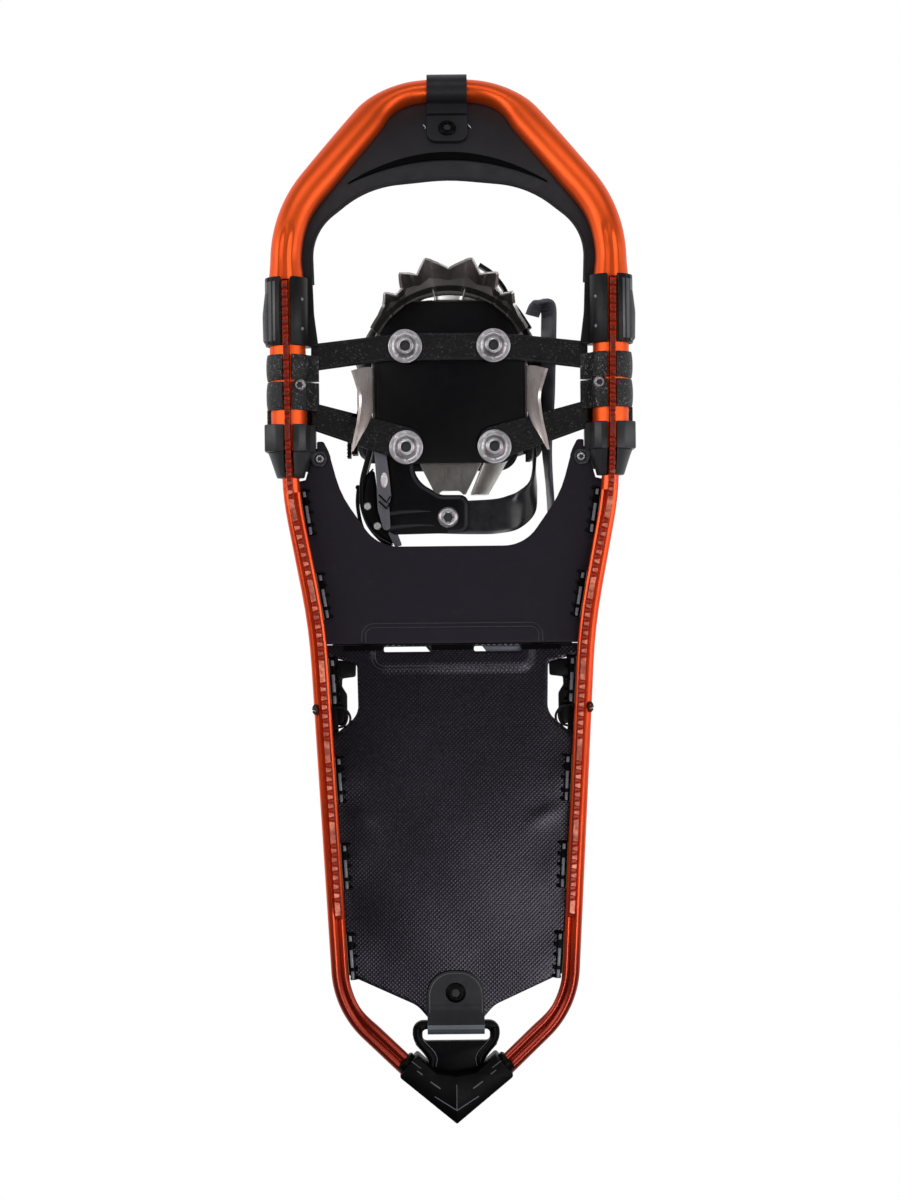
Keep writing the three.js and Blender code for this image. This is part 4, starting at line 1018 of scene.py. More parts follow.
def rear_collar():
    """The rear clamp: a split ring, the cone that closes the tube's end, and the flange over the deck."""
    x = side_x(CLAMP_REAR_Y)
    section = [(x + FIN_ROOM_HALF, 6, 0), (x + 8, 6, 3), (x + 14.5, 10.6, 2), (x + 14.5, 31, 5)]
    section += [(80.6, 31, 2), (80.6, 20.2, 1), (x - 12.5, 17, 2), (x - 10.5, 8.6, 2), (x - 6.4, 6, 1.4)]
    section += [(x - FIN_ROOM_HALF, 6, 0)]
    section += [(a, b, 0) for a, b in seat(x)]
    ring = along_tube(outline(section, 15), CLAMP_REAR_Y, CLAMP_FRONT_Y, edge=0.7)
    cone = []
    for y, radius in CONE:
        cone.append([(rail_x(y) + a, y, AXIS_Z + b) for a, b in slotted_ring(radius, radius, FIN_ROOM_HALF)])
    flange = outline([(90, 86, 0), (90, 72, 0), (72, 72, 6), (72, 86, 6)], 10)
    return both(ring, loft(cone), slab(flange, DECK_TOP + GAP, DECK_TOP + 3, edge=0.5))


def tooth_of_collar():
    """The small lug of the clamp that reaches under the deck's corner."""
    ring = outline([(86, 83.8, 1), (75.6, 84, 2), (73.6, 79.5, 4), (76, 74.6, 3), (82, 75.4, 2)], 10)
    return slab(ring, 19.95, 21.2, [circle(*CORNER_RIVET, 3.2, 24)], edge=0.4)


LOBES = 6
LOBE_SHARE = 0.13


def screw(place, radius, height, recess, depth):
    """A domed rivet head that faces down, with a lobed recess."""
    dome = [(radius, 0), (radius, -0.25 * height), (0.9 * radius, -0.68 * height), (0.72 * radius, -height)]
    hole = [(recess, 0.12 - height), (recess * 0.94, depth - height)]

    def reach(r, turn):
        return r * (1 + LOBE_SHARE * math.cos(LOBES * turn)) if r <= recess else r

    return lathe(dome + [(recess * 1.14, -height)] + hole, 48, place, reach)


def recess_shade(place, radius, depth=0.3):
    """A near-black disc at the bottom of a recess: painted shade in the recess."""
    return lathe([(radius, 0), (radius, depth)], 24, place)


SLEEVE_FRONT_Y = 141.2
SLEEVE_REAR_Y = 108.2
SLEEVE_MIDDLE_Y = 125.4
SLEEVE_R = 13.4
SLEEVE_TAIL_X = 78.4
SLEEVE_TAIL_Z = 24.3
WRAP_STEPS = 12
SLEEVE_RIVET = (88.8, 122.6)


def wrap(start, end, grow):
    """One turn of webbing: fuller in its middle, with its edges drawn in."""
    x = side_x(SLEEVE_REAR_Y)
    rings = []
    for k in range(WRAP_STEPS + 1):
        share = k / WRAP_STEPS
        full = grow * (1 - abs(2 * share - 1) ** 2.6)
        radius = SLEEVE_R - 0.75 + full
        lean = slot_lean(radius)
        section = arc(x, AXIS_Z, radius, -90 + lean, 122, 40)
        section += [(SLEEVE_TAIL_X, SLEEVE_TAIL_Z), (SLEEVE_TAIL_X, 20.6 - full * 0.3)]
        section.append((84.2, 15.8 - full * 0.5))
        section += arc(x, AXIS_Z, radius, 212, 270 - lean, 16) + seat(x)
        y = mix(start, end, share)
        rings.append([(a, y, b) for a, b in section])
    return loft(rings)


def sleeve():
    """The strap's two turns round the tube and the flap behind them."""
    x = side_x(SLEEVE_REAR_Y)
    flap = arc(x, AXIS_Z, SLEEVE_R, 8, 122) + [(SLEEVE_TAIL_X, SLEEVE_TAIL_Z), (SLEEVE_TAIL_X, 22)]
    flap += arc(x, AXIS_Z, SEAT_R, 122, 8)
    return both(
        wrap(SLEEVE_REAR_Y, SLEEVE_MIDDLE_Y - 0.5, 0.75),
        wrap(SLEEVE_MIDDLE_Y + 0.5, SLEEVE_FRONT_Y, 0.7),
        along_tube(flap, 100, 109, edge=0.5),
    )


for side, sign in SIDES:
    corner = (sign * CORNER_RIVET[0], CORNER_RIVET[1])
    wrapped = (sign * SLEEVE_RIVET[0], SLEEVE_RIVET[1])
    clamp = both(rear_collar(), tooth_of_collar())
    piece(f"collar_front_{side}", sided(sign, front_collar()), COLLAR_LOOK, "frame", f"front_collar_{side}")
    piece(f"collar_wing_{side}", sided(sign, collar_wing()), WING_LOOK, "frame", slot="black_plastic")
    piece(f"collar_bolts_{side}", sided(sign, collar_screws()), GREY_AND_HIGHLIGHT_LOOK, "frame", slot="black_plastic")
    piece(f"collar_rear_{side}", sided(sign, clamp), CLAMP_LOOK, "frame", f"rear_collar_{side}")
    piece(f"wrap_{side}", sided(sign, sleeve()), SLEEVE_LOOK, "frame", f"strap_sleeve_{side}", sharp=45)
    head = screw((*wrapped, 7.6), 3.7, 2.1, 1.9, 1.2)
    piece(f"wrap_rivet_{side}", head, ZINC_LOOK, "frame", f"sleeve_rivet_{side}")
    # painted shade in the rivet's recess
    piece(f"wrap_rivet_socket_shade_{side}", recess_shade((*wrapped, 6.4), 1.75), SOCKET_SHADE_LOOK, "frame")
    head = screw((*corner, 21.1), 2.9, 1.4, 1.4, 0.9)
    piece(f"corner_pin_{side}", head, ZINC_LOOK, "frame", f"corner_rivet_{side}")
    # painted shade in the corner rivet's recess
    piece(f"corner_socket_shade_{side}", recess_shade((*corner, 20.5), 1.3), SOCKET_SHADE_LOOK, "frame")

# ------------------------------------------------------------ nose deck and its strap
NOSE_DECK_Z = 2.4
NOSE_DECK_T = 1.6
NOSE_OPENING = [
    (81.6, 184, 0),
    (82.6, 216, 34),
    (48, 244.4, 60),
    (0, 249.4, 110),
    (-48, 244.4, 60),
    (-82.6, 216, 34),
    (-81.6, 184, 0),
]
CREASE_TOP_Y = 264.4
CREASE_DROP = 18.0
CREASE_REACH = 60.0


def crease(x, y):
    """How far the nose deck's rear strip is pressed down from its crescent, more towards the opening."""
    share = min(1, abs(x) / CREASE_REACH)
    off = CREASE_TOP_Y - CREASE_DROP * share**2 - y
    return 0.07 * min(max(off, 0), 14) * (1 - share**4)


def crescent():
    """A near-black crescent on the nose deck, widest at its middle: the painted shadow of the deck's crease.
    """
    upper, lower = [], []
    for k in range(-24, 25):
        x = k / 24 * CREASE_REACH
        share = abs(k) / 24
        middle = CREASE_TOP_Y - CREASE_DROP * share**2
        wide = 0.4 + 2.9 * (1 - share**2)
        upper.append(Vector((x, middle + wide * 0.5)))
        lower.append(Vector((x, middle - wide)))
    body = slab(upper + lower[::-1], -1.3, 0.5, edge=0.5)
    return moved(body, lambda p: (p.x, p.y, p.z + AXIS_Z + rise(p.y) + NOSE_DECK_Z))


def nose_deck():
    """The deck's skin from the tube to the opening, and the lip round the opening."""
    plan = [p for p in resample(outline(TUBE_LINE, 2, closed=False), 3) if p.y > COLLAR_FRONT_Y - 3.4]
    outer = []
    for i, point in enumerate(plan):
        ahead, behind = plan[min(i + 1, len(plan) - 1)], plan[max(i - 1, 0)]
        along = (ahead - behind).normalized()
        amount = half_width(point.y) - 0.8
        outer.append(point - Vector((along.y, -along.x)) * amount)
    opening = resample(outline(NOSE_OPENING, 3, closed=False), 1.5)
    columns = 44
    grid = []
    for i, point in enumerate(outer):
        inner = opening[round(i * (len(opening) - 1) / (len(outer) - 1))]
        row = []
        for c in range(columns + 1):
            p = point.lerp(inner, c / columns)
            lift = NOSE_DECK_Z + NOSE_DECK_T / 2 + crease(p.x, p.y)
            row.append((p.x, p.y, AXIS_Z + rise(p.y) + lift))
        grid.append(row)
    lip = [(p.x, p.y, AXIS_Z + rise(p.y) + NOSE_DECK_Z + 0.8 + crease(p.x, p.y)) for p in opening]
    return shell(grid, NOSE_DECK_T), tube(lip, 1.15, 12)


skin, lip = nose_deck()
piece("nose_skin", skin, DECK_PLASTIC, "frame", "nose_deck", sharp=50)
piece("nose_lip", lip, DECK_PLASTIC, "frame", slot="black_plastic", sharp=50)
# the crease's painted shadow
piece("nose_crease_shadow", crescent(), SHADE_LOOK, "frame", slot="black_plastic", sharp=50)

NOSE_STRAP_HALF = 12.3
NOSE_STRAP_T = 2.0
NOSE_RIVET_Y = 280.5


def nose_deck_z(y):
    return AXIS_Z + rise(y) + NOSE_DECK_Z


def leaf_half(distance, half, corner):
    """Half the width of a strap at a distance from its rounded end."""
    if distance >= corner:
        return half
    return half - corner + math.sqrt(max(0, corner**2 - (corner - distance) ** 2))


def folded_strap(path, half, corner, thickness, columns):
    """A strap along a path of (y, z) with both ends' corners rounded."""
    run = [Vector(p) for p in smooth_line(path, 6)]
    lengths = [0.0]
    for a, b in zip(run, run[1:]):
        lengths.append(lengths[-1] + (b - a).length)
    grid = []
    for point, length in zip(run, lengths):
        wide = leaf_half(min(length, lengths[-1] - length), half, corner)
        grid.append([(wide * s, point.x, point.y) for s in np.linspace(-1, 1, columns)])
    return shell(grid, thickness)


def nose_strap():
    """The strap under the deck, round the tube's nose and back over the deck."""
    tube_y = max(p.y for p in TUBE_PLAN)
    tube_z = AXIS_Z + rise(tube_y)
    grow = NOSE_Y - tube_y - TUBE_NOSE_HALF - NOSE_STRAP_T / 2
    low = -GAP - NOSE_STRAP_T / 2
    high = NOSE_DECK_T + GAP + NOSE_STRAP_T / 2
    path = [(y, nose_deck_z(y) + low) for y in (272.6, 274.2, 276.5, 281, 287, 293)]
    for angle in range(-158, 161, 18):
        t = math.radians(angle)
        path.append((tube_y + (TUBE_NOSE_HALF + grow) * math.cos(t), tube_z + (TUBE_R + grow) * math.sin(t)))
    path += [(y, nose_deck_z(y) + high) for y in (294, 287, 281, 276.5, 274.2, 272.6)]
    return folded_strap(path, NOSE_STRAP_HALF, 6, NOSE_STRAP_T, 13)


def on_nose_slope(solid):
    """A solid laid on the nose deck's slope at the rivet."""
    slope = math.atan2(nose_deck_z(NOSE_RIVET_Y + 5) - nose_deck_z(NOSE_RIVET_Y - 5), 10)
    turn = Matrix.Rotation(slope, 3, "X")
    place = Vector((0, NOSE_RIVET_Y, nose_deck_z(NOSE_RIVET_Y)))
    return moved(solid, lambda p: place + turn @ p)


def nose_fold():
    """The crease where the strap leaves the deck for the tube."""
    y = 291.0
    z = nose_deck_z(y) - GAP - NOSE_STRAP_T - 0.1
    half = NOSE_STRAP_HALF - 0.4
    return tube([(-half, y, z), (half, y, z)], 0.7, 12)


def nose_hooks():
    """The wire hooks at both sides of the strap."""
    solids = []
    z = nose_deck_z(283) - 0.6
    for x in (-13.6, 13.6):
        route = [(x - 0.9, 281.2, z + 1), (x - 0.9, 281.8, z - 0.6), (x, 283, z - 1.1)]
        route.append((x + 0.9, 284.2, z - 0.6))
        solids.append(tube(smooth_line(route, 5), 0.42, 8))
    return both(*solids)


RIVET_HEAD = (0, 0, -GAP - NOSE_STRAP_T)
piece("nose_band", nose_strap(), TAB_LOOK, "frame", "nose_strap", sharp=50)
piece("nose_band_fold", nose_fold(), CAP_LOOK, "frame", slot="black_plastic")
piece("nose_band_hooks", nose_hooks(), ZINC_LOOK, "frame", slot="zinc_steel")
piece("nose_screw", on_nose_slope(screw(RIVET_HEAD, 5.4, 1.9, 2.6, 1.4)), CAP_LOOK, "frame", "nose_rivet")
# painted shade in the nose rivet's recess
piece("nose_screw_socket_shade", on_nose_slope(recess_shade((0, 0, -3.1), 2.4)), SOCKET_SHADE_LOOK, "frame")

# ------------------------------------------------------------ decks
FRONT_PAD = (54.9, -19.0, 1.1)  # its half width, far edge and depth
REAR_PAD = (48.9, -47.8, 1.0)
PAD_CORNER = 8.0
EDGE_STEPS = 40


def deck_edge(start, end):
    places = (mix(start, end, k / EDGE_STEPS) for k in range(EDGE_STEPS + 1))
    return [(rail_x(y) - DECK_REACH, y, 0) for y in places]


CLIPS = [47, -3, -54, -113, -165, -219]


def waves(x, y):
    """The slight unevenness of a laced sheet, drawn down towards its clips."""
    soft = 0.25 * math.sin(x * 0.052 + 1.1) * math.sin(y * 0.043) + 0.12 * math.sin(x * 0.11 - y * 0.071)
    near = math.exp(-(((rail_x(max(y, -240)) - abs(x) - 9) / 11) ** 2))
    pull = sum(math.exp(-(((y - clip) / 13) ** 2)) for clip in CLIPS)
    pucker = 0.42 * math.exp(-(((abs(x) - 55) / 9) ** 2) - ((y + 135 - 0.35 * (abs(x) - 55)) / 5) ** 2)
    return soft - pucker - 0.5 * near * (pull - 0.4) * smoothstep(-y, 20, 60)


def pad_depth(x, y, pad):
    """How deep a place lies inside a pad with rounded corners that starts at the seam."""
    half, end, _ = pad
    dx = abs(x) - (half - PAD_CORNER)
    dy = abs(y - SEAM_Y) - (abs(end - SEAM_Y) - PAD_CORNER)
    if dx > 0 and dy > 0:
        return PAD_CORNER - math.hypot(dx, dy)
    return PAD_CORNER - max(dx, dy)


def relief(pad):
    """A deck's height above flat at any place, with its pad pressed in."""
    return lambda x, y: waves(x, y) - pad[2] * smoothstep(pad_depth(x, y, pad), -0.5, 2.5)


def pad_rim_highlights():
    """The fine pressed lines round both pads, in a lighter and glossier plastic than the deck: a painted
    highlight on real lines.
    """
    solids = []
    for pad, insets in ((FRONT_PAD, (0.6, 3.0)), (REAR_PAD, (0.6, 2.6))):
        height = relief(pad)
        start = SEAM_Y + math.copysign(1.0, pad[1] - SEAM_Y)
        for amount in insets:
            half, end = pad[0] - amount, pad[1] + math.copysign(amount, SEAM_Y - pad[1])
            corner = PAD_CORNER - amount
            rim = [(half, start), (half, end, corner), (-half, end, corner), (-half, start)]
            line = resample(outline(rim, 8, closed=False), 3)
            solids.append(tube([(p.x, p.y, DECK_Z + height(p.x, p.y) + 0.12) for p in line], 0.4, 8))
    return both(*solids)


def seam_shade():
    """A near-black strip under the rear deck's front edge, broken by the slots: painted shade along the seam.
    """
    spans = ((-65, -41.6), (-12.4, 12.4), (41.6, 65))
    return both(*[rounded_box((left, -35.8, 20.0), (right, -32.4, 20.9), 0.2) for left, right in spans])


def rail_shelf():
    """The strip beside the rail that closes the deck's side opening behind the clips."""
    levels = [-37.0, -50.0, -63.0, -76.0, -89.0]
    outer = [Vector((rail_x(y) - DECK_REACH, y)) for y in levels]
    inner = [Vector((rail_x(y) - 8.4, y)) for y in reversed(levels)]
    return slab(outer + inner, 22.9, 24.3)


def slot_bar():
    """The heel lift's grey bar, which shows through the deck's left slot."""
    bar = [(-17.6, -33.2, 0), (-20.6, -37.2, 0), (-41.6, -37.2, 0), (-41.6, -33.2, 0)]
    ridge = tube([(-21, -33.9, 24.2), (-40.6, -33.9, 24.2)], 0.4, 8)
    return both(slab(outline(bar), 24, 25.6, edge=0.3), ridge)


def deck(half, holes, pad):
    """A deck sheet of half an outline, with a fine grid that carries its relief."""
    edge = resample(outline(mirrored(half), 6), 3, True)
    return slab(edge, DECK_Z, DECK_TOP, holes, 0.3, 2.0, relief(pad))


def front_deck():
    half = [(0, 26.6, 0), (44, 26.6, 24), (66, 58, 60), (73, 84, 3), (76, 90, 2), (80, 90, 1), (80, 83, 0)]
    half += [(82.4, 82.4, 0), (87, 67, 0), *deck_edge(66, SEAM_Y + 6)]
    half.append((rail_x(SEAM_Y) - DECK_REACH, SEAM_Y + GAP / 2, 0))
    holes = [circle(s * CORNER_RIVET[0], CORNER_RIVET[1], 2.35, 16) for s in (1, -1)]
    return deck(half, holes, FRONT_PAD)


SLOT = (13, 41, -33.6, -36.6)


def rear_deck():
    half = [
        (0, SEAM_Y - GAP / 2, 0),
        (rail_x(SEAM_Y) - DECK_REACH, SEAM_Y - GAP / 2, 0),
        (rail_x(-39) - DECK_REACH, -38.6, 0),
        (57.3, -43.6, 3),
        (56.7, -74, 12),
        (rail_x(-88) - DECK_REACH, -88, 0),
        *deck_edge(-88, -226),
        (rail_x(-229) - DECK_REACH, -229.5, 2),
        (23, -249, 16),
        (16.5, -256.6, 2),
    ]
    inner, outer, front, rear = SLOT
    corners = ((inner, front), (outer, front), (outer, rear), (inner, rear))
    slots = [outline([(s * x, y, 1) for x, y in corners], 15) for s in (1, -1)]
    return deck(half, slots, REAR_PAD)


def slot_stitches():
    """Short raised dashes along the slots' front edges."""
    inner, outer, front, _ = SLOT
    dashes = []
    for sign in (1, -1):
        for k in range(8):
            x = mix(inner + 1, outer - 3, k / 7)
            ends = [(sign * at, front + 0.8, 20.5) for at in (x, x + 1.6)]
            dashes.append(tube(ends, 0.3, 8))
    return both(*dashes)


piece("deck_front", front_deck(), FRONT_DECK_LOOK, "frame", "front_deck", sharp=50)
piece("deck_rear", rear_deck(), REAR_DECK_LOOK, "frame", "rear_deck", sharp=50)
# the pads' pressed lines, lighter than the deck as a painted highlight
piece("deck_pad_rims", pad_rim_highlights(), CLAMP_LOOK, "frame", slot="deck_sheet", sharp=60)
piece("deck_dashes", slot_stitches(), EDGE_LOOK, "frame", slot="deck_sheet")
piece("lift_bar", slot_bar(), GREY_AND_HIGHLIGHT_LOOK, "frame", slot="black_plastic")
piece("deck_seam_shade", seam_shade(), SHADE_LOOK, "frame", slot="deck_sheet")
for side, sign in SIDES:
    piece(f"rail_shelf_{side}", sided(sign, rail_shelf()), CAP_LOOK, "frame", slot="black_plastic")

CLIP_Z = 17.8


def clip_base():
    """A clip's dark body beside the rail, with pegs along it and a hook at each end."""
    solids = [rounded_box((-3.4, -14, 19.0), (-0.2, 14, 21.0), 0.5)]
    for y in (-13, 0, 13):
        route = [(-4.4, y, 21.2), (-4.6, y, 19.6), (-3.4, y, 18.6), (-1.6, y, 18.9), (-0.6, y, 20)]
        solids.append(tube(smooth_line(route, 4), 0.75, 10))
    for y in (-7.6, 6.2):
        solids.append(tube([(-4.2, y - 0.9, 19.0), (-4.2, y + 0.9, 19.0)], 0.9, 10))
    return both(*solids)


def clip_thread():
    """A fine cord laid along the clip, on the rail's side."""
    return tube([(0.5, -14, 18.6), (0.7, 0, 18.2), (0.5, 14, 18.6)], 0.28, 8)


def clip_bar_highlights():
    """The clip's bars, which the deck's edge is clamped under, in grey plastic lighter than the black clip:
    painted highlights.
    """
    spans = ((-13.4, -8.6), (-6.4, 4.2), (9.4, 12.8))
    return both(*[rounded_box((-2.7, start, CLIP_Z), (-0.9, end, 19.8), 0.5) for start, end in spans])


for i, y in enumerate(CLIPS):
    slope = math.atan2(rail_x(y + 12) - rail_x(y - 12), 24)
    turn = Matrix.Rotation(-slope, 3, "Z")
    place = Vector((rail_x(y) - DECK_EDGE, y, 0))
    base, bars, thread = (
        moved(solid, lambda p: place + turn @ p) for solid in (clip_base(), clip_bar_highlights(), clip_thread())
    )
    for side, sign in SIDES:
        end = f"{side}_{i + 1}"
        piece(f"edge_clip_{end}", sided(sign, base), CAP_LOOK, "frame", f"deck_clip_{end}")
        # the clip's bars in lighter grey: painted highlight on the black clip
        piece(f"edge_bar_highlights_{end}", sided(sign, bars), GREY_AND_HIGHLIGHT_LOOK, "frame", slot="black_plastic")
        piece(f"edge_thread_{end}", sided(sign, thread), THREAD_LOOK, "frame", slot="black_plastic")

# ------------------------------------------------------------ tail tab
TAIL_TAB_HALF = 17.0
TAIL_RIVET_Y = -241.0
TAB_T = 1.6
TAB_LOW_Z = DECK_Z - GAP - TAB_T / 2


def anchor_arc(radius, angles):
    """Points (y, z) round the rear of the bar that the tab is folded over."""
    turns = [math.radians(angle) for angle in angles]
    return [(ANCHOR_Y - radius * math.cos(t), DECK_MIDDLE_Z + radius * math.sin(t)) for t in turns]


def tail_tab():
    """The tab's upper leaf, its turn round the bar, and its lower leaf."""
    leaf = (-228.1, -229.5, -232, -236, -241, -247, -252)
    path = [(y, DECK_TOP + GAP + TAB_T / 2) for y in leaf]
    path += anchor_arc(4.75, range(80, -81, -20))
    path += [(y, TAB_LOW_Z) for y in reversed(leaf)]
    return folded_strap(path, TAIL_TAB_HALF, 14.5, TAB_T, 25)


def tab_border():
    """The raised edge round the tab's lower leaf."""
    half, corner, front = TAIL_TAB_HALF - 1.3, 13.6, -229.4
    rim = [(half, -254, 0), (half, front, corner), (-half, front, corner), (-half, -254, 0)]
    return line_at(outline(rim, 6, closed=False), DECK_Z - GAP - TAB_T - 0.05, 0.3)


def tab_fold():
    """The lighter band where the tab turns round the cap's loop."""
    low = TAB_LOW_Z
    path = [(-253.6, low + 0.1), (-254.4, low - 0.25), (-257, low - 0.35)]
    run = smooth_line(path + anchor_arc(5.1, range(-80, 21, 20)), 5)
    grid = [[(s * (TAIL_TAB_HALF + 0.1), y, z) for s in np.linspace(-1, 1, 9)] for y, z in run]
    return shell(grid, TAB_T)


piece("tail_strap_fold", tab_fold(), FOLD_LOOK, "frame", slot="black_plastic", sharp=50)
piece("tail_strap", tail_tab(), TAB_LOOK, "frame", "tail_tab", sharp=50)
piece("tail_strap_border", tab_border(), EDGE_LOOK, "frame", slot="black_plastic")
piece("tail_screw", screw((0, TAIL_RIVET_Y, 19.4), 6, 1.9, 2.7, 1.4), CAP_LOOK, "frame", "tail_rivet")
# painted shade in the tail rivet's recess
piece("tail_screw_socket_shade", recess_shade((0, TAIL_RIVET_Y, 18.4), 2.5), SOCKET_SHADE_LOOK, "frame")

# ------------------------------------------------------------ heel lift and tie loops
LIFT_Y = -26.5
LIFT_Z = 27.6
LIFT_HALF = 54.0
LUG_X = 46.0
RIB_PITCH = 8.6
TIE_Y = -72.5
CORD_R = 0.7


def heel_lift_base():
    """The crossbar over the deck with a hooked tab at each end, the wire's lugs, and ribs between them."""
    half = [(0, -21, 0), (68, -21, 3), (72, -29, 3), (72, -48, 2), (70.4, -56, 3), (70.4, -80, 3)]
    half += [(65, -81.5, 3), (63.4, -76, 4), (63.4, -62, 4), (66.4, -57, 2), (66.2, -52.4, 1)]
    half.append((58.2, -51.4, 1.5))
    half += [(57.8, -42.2, 1.5), (69, -41.2, 0.4), (69, -36, 0.4), (57, -32.4, 3)]
    solids = [slab(outline(mirrored(half), 10), DECK_TOP + GAP, DECK_TOP + 2.6, edge=0.6)]
    profile = outline([(-31.5, 23.6, 0), (-22, 23.6, 0), (-22, 31, 4), (-31, 31, 4)], 10)
    for x in (LUG_X, -LUG_X):
        solids.append(moved(slab(profile, x - 3, x + 3, edge=0.7), lambda p: (p.z, p.x, p.y)))
    for k in range(-4, 5):
        x = k * RIB_PITCH
        solids.append(rounded_box((x - 1, -30, 24.8), (x + 1, -23, 25.8), 0.4))
    return both(*solids)


def bail():
    half = [(LUG_X - 5, 0), (LIFT_HALF - 3, 0), (LIFT_HALF - 0.8, -0.8), (LIFT_HALF, -3), (LIFT_HALF, -40)]
    half += [(LIFT_HALF - 2, -45), (LIFT_HALF - 7, -47)]
    run = half + [(-x, y) for x, y in reversed(half)]
    corners = [(x, y, 1.4 if 0 < i < len(run) - 1 else 0) for i, (x, y) in enumerate(run)]
    line = resample(outline(corners, 10, closed=False), 4)
    return tube([(p.x, LIFT_Y + p.y, LIFT_Z) for p in line], 1.8, 20)


def tie_loop():
    """A thin cord round the rail's outer side with its knot, and its loop round the hook."""
    x = rail_x(TIE_Y)
    turns = arc(x, AXIS_Z, 6.1, -64, 200, 20)
    solids = [tube([(a, TIE_Y + 2.2, b) for a, b in turns], CORD_R, 10)]
    for shift in (-1.2, 1.4):
        y = TIE_Y + 2
        knot = [(x + 5.6, y + shift, 15.6), (x + 4.2, y + 2 * shift, 13.4), (x + 2.6, y, 13)]
        solids.append(tube(smooth_line(knot, 4), CORD_R, 10))
    loop = [(x - 5.4, 3.4, 20), (69, 3, 19.6), (64.6, 2, 19.4), (61.6, -2.6, 19.6)]
    loop += [(62.4, -7.4, 19.8), (66, -11, 19.8), (70.6, -12.6, 20.4)]
    second = [(64.4, 1.4, 20.6), (63.4, -3.4, 20.6), (65.4, -8, 20.6), (69.6, -9.4, 20.9)]
    for route, radius in ((loop, 0.75), (second, CORD_R)):
        solids.append(tube(smooth_line([(a, TIE_Y + b, z) for a, b, z in route], 7), radius, 10))
    return both(*solids)


piece("lift_crossbar", heel_lift_base(), BLACK_LOOK, "frame", "heel_lift_base")
piece("lift_wire", bail(), ZINC_LOOK, "heel_lift", "heel_lift_bail", sharp=50)
for side, sign in SIDES:
    piece(f"tie_cord_{side}", sided(sign, tie_loop()), WEBBING_LOOK, "frame", f"tie_loop_{side}", sharp=60)

# ------------------------------------------------------------ suspension straps
STRAP_END_X = 78.0
STRAP_TURN_X = 37.0  # where the straps would start to follow the binding inwards; they are left flat
BOLTS = [
    ("front_right", BOLT_X, FRONT_BOLT_Y),
    ("front_left", -BOLT_X, FRONT_BOLT_Y),
    ("rear_right", BOLT_X, REAR_BOLT_Y),
    ("rear_left", -BOLT_X, REAR_BOLT_Y),
]


def strap_slab(corners):
    """A flat strap with a grid fine enough to bend."""
    return slab(resample(outline(corners, 8), 2.5, True), STRAP_Z, STRAP_Z + STRAP_T, edge=0.45, fill=2.5)


def strap_edges(lines):
    """Sewn edge lines just under a strap."""
    solids = []
    for a, b in lines:
        solids.append(line_at(resample([Vector(a), Vector(b)], 2.5), STRAP_Z - 0.02, 0.32))
    return both(*solids)


STRAP_EDGE_X = STRAP_END_X + 5
FRONT_OUTER = [(BOLT_X, 154.4, 0), (30, 154.4, 6), (STRAP_EDGE_X, 148.5), (STRAP_EDGE_X, 132.2)]
FRONT_OUTER += [(38, 138, 12), (BOLT_X, 138, 0)]
FRONT_MIDDLE = [(BOLT_X, 154.6, 0), (BOLT_X, 138, 0)]
REAR_OUTER = [(STRAP_EDGE_X, 113.6), (STRAP_EDGE_X, 97), (46, 84, 30), (17, 74, 9), (17, 96, 9)]
OUTER_SEAMS = [
    ((33, 153.2), (80, 147.6)),
    ((40, 139), (80, 133.8)),
    ((36, 93), (80, 111)),
    ((46, 85.4), (80, 97.2)),
]
MIDDLE_SEAMS = [((-15, 153.4), (15, 153.4)), ((-15, 139.2), (15, 139.2))]

for side, sign in SIDES:
    solids = (strap_slab(FRONT_OUTER), strap_slab(REAR_OUTER), strap_edges(OUTER_SEAMS))
    front, rear, seams = (sided(sign, solid) for solid in solids)
    start, end = (sign * STRAP_END_X * MM, 0, 0), (sign * STRAP_TURN_X * MM, 0, 0)
    for made in (
        piece(f"strap_front_{side}", front, WEBBING_LOOK, None, slot="webbing"),
        piece(f"strap_rear_{side}", rear, WEBBING_LOOK, None, f"rear_strap_{side}"),
        piece(f"strap_seams_{side}", seams, TAB_LOOK, None, slot="webbing"),
    ):
        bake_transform(made)

piece("strap_front_middle", strap_slab(mirrored(FRONT_MIDDLE)), WEBBING_LOOK, "binding", "front_strap")
piece("strap_seams_middle", strap_edges(MIDDLE_SEAMS), TAB_LOOK, "binding", slot="webbing")

# ------------------------------------------------------------ binding: plates, crampon, footbed
NUT_ROOM = 6.85
NUT_R = 6.5


def binding_plate():
    half = [(24, 173.8, 4), (38.4, 161, 10), (45.3, 140, 30), (45.3, 100, 4), (41, 92, 6), (38, 76, 11)]
    half.append((17.5, 76.5, 6))
    plate = slab(outline(mirrored(half), 6), PLATE_Z, PLATE_Z + PLATE_T, edge=0.7)
    rim = outline([(23, 172, 3), (37, 160, 9), (43.6, 140, 28), (43.6, 104, 0)], 6, closed=False)
    right = line_at(rim, PLATE_Z + 0.1, 0.45)
    return both(plate, right, flipped(right))


CROWN_CENTRE_Y = 130.0
CROWN = [(0, 60.8, 7.5), (11.8, 67.3, 1.2), (18, 60, 7.5), (26.8, 64.4, 1.5), (29.6, 57, 8.5)]
CROWN += [(34.5, 55.2, 9.5), (39.4, 59.6, 2.5), (44, 55.4, 8), (51.3, 53.6, 11), (60, 53.6, 15)]
SKIRT_HALF = 60
SKIRT_STEPS = 150
# the skirt's lower rows: shares of the way out and down to the tip, and of a fold's depth
SKIRT_DROP = ((0.34, 0.2, 0.5), (0.68, 0.6, 0.8))
SHEET_T = 1.8
FOLD = 0.8  # how far the skirt's pressed folds stand out
FOLD_HALF = 1.6
FOLDS = (10, 22, 33, 44)


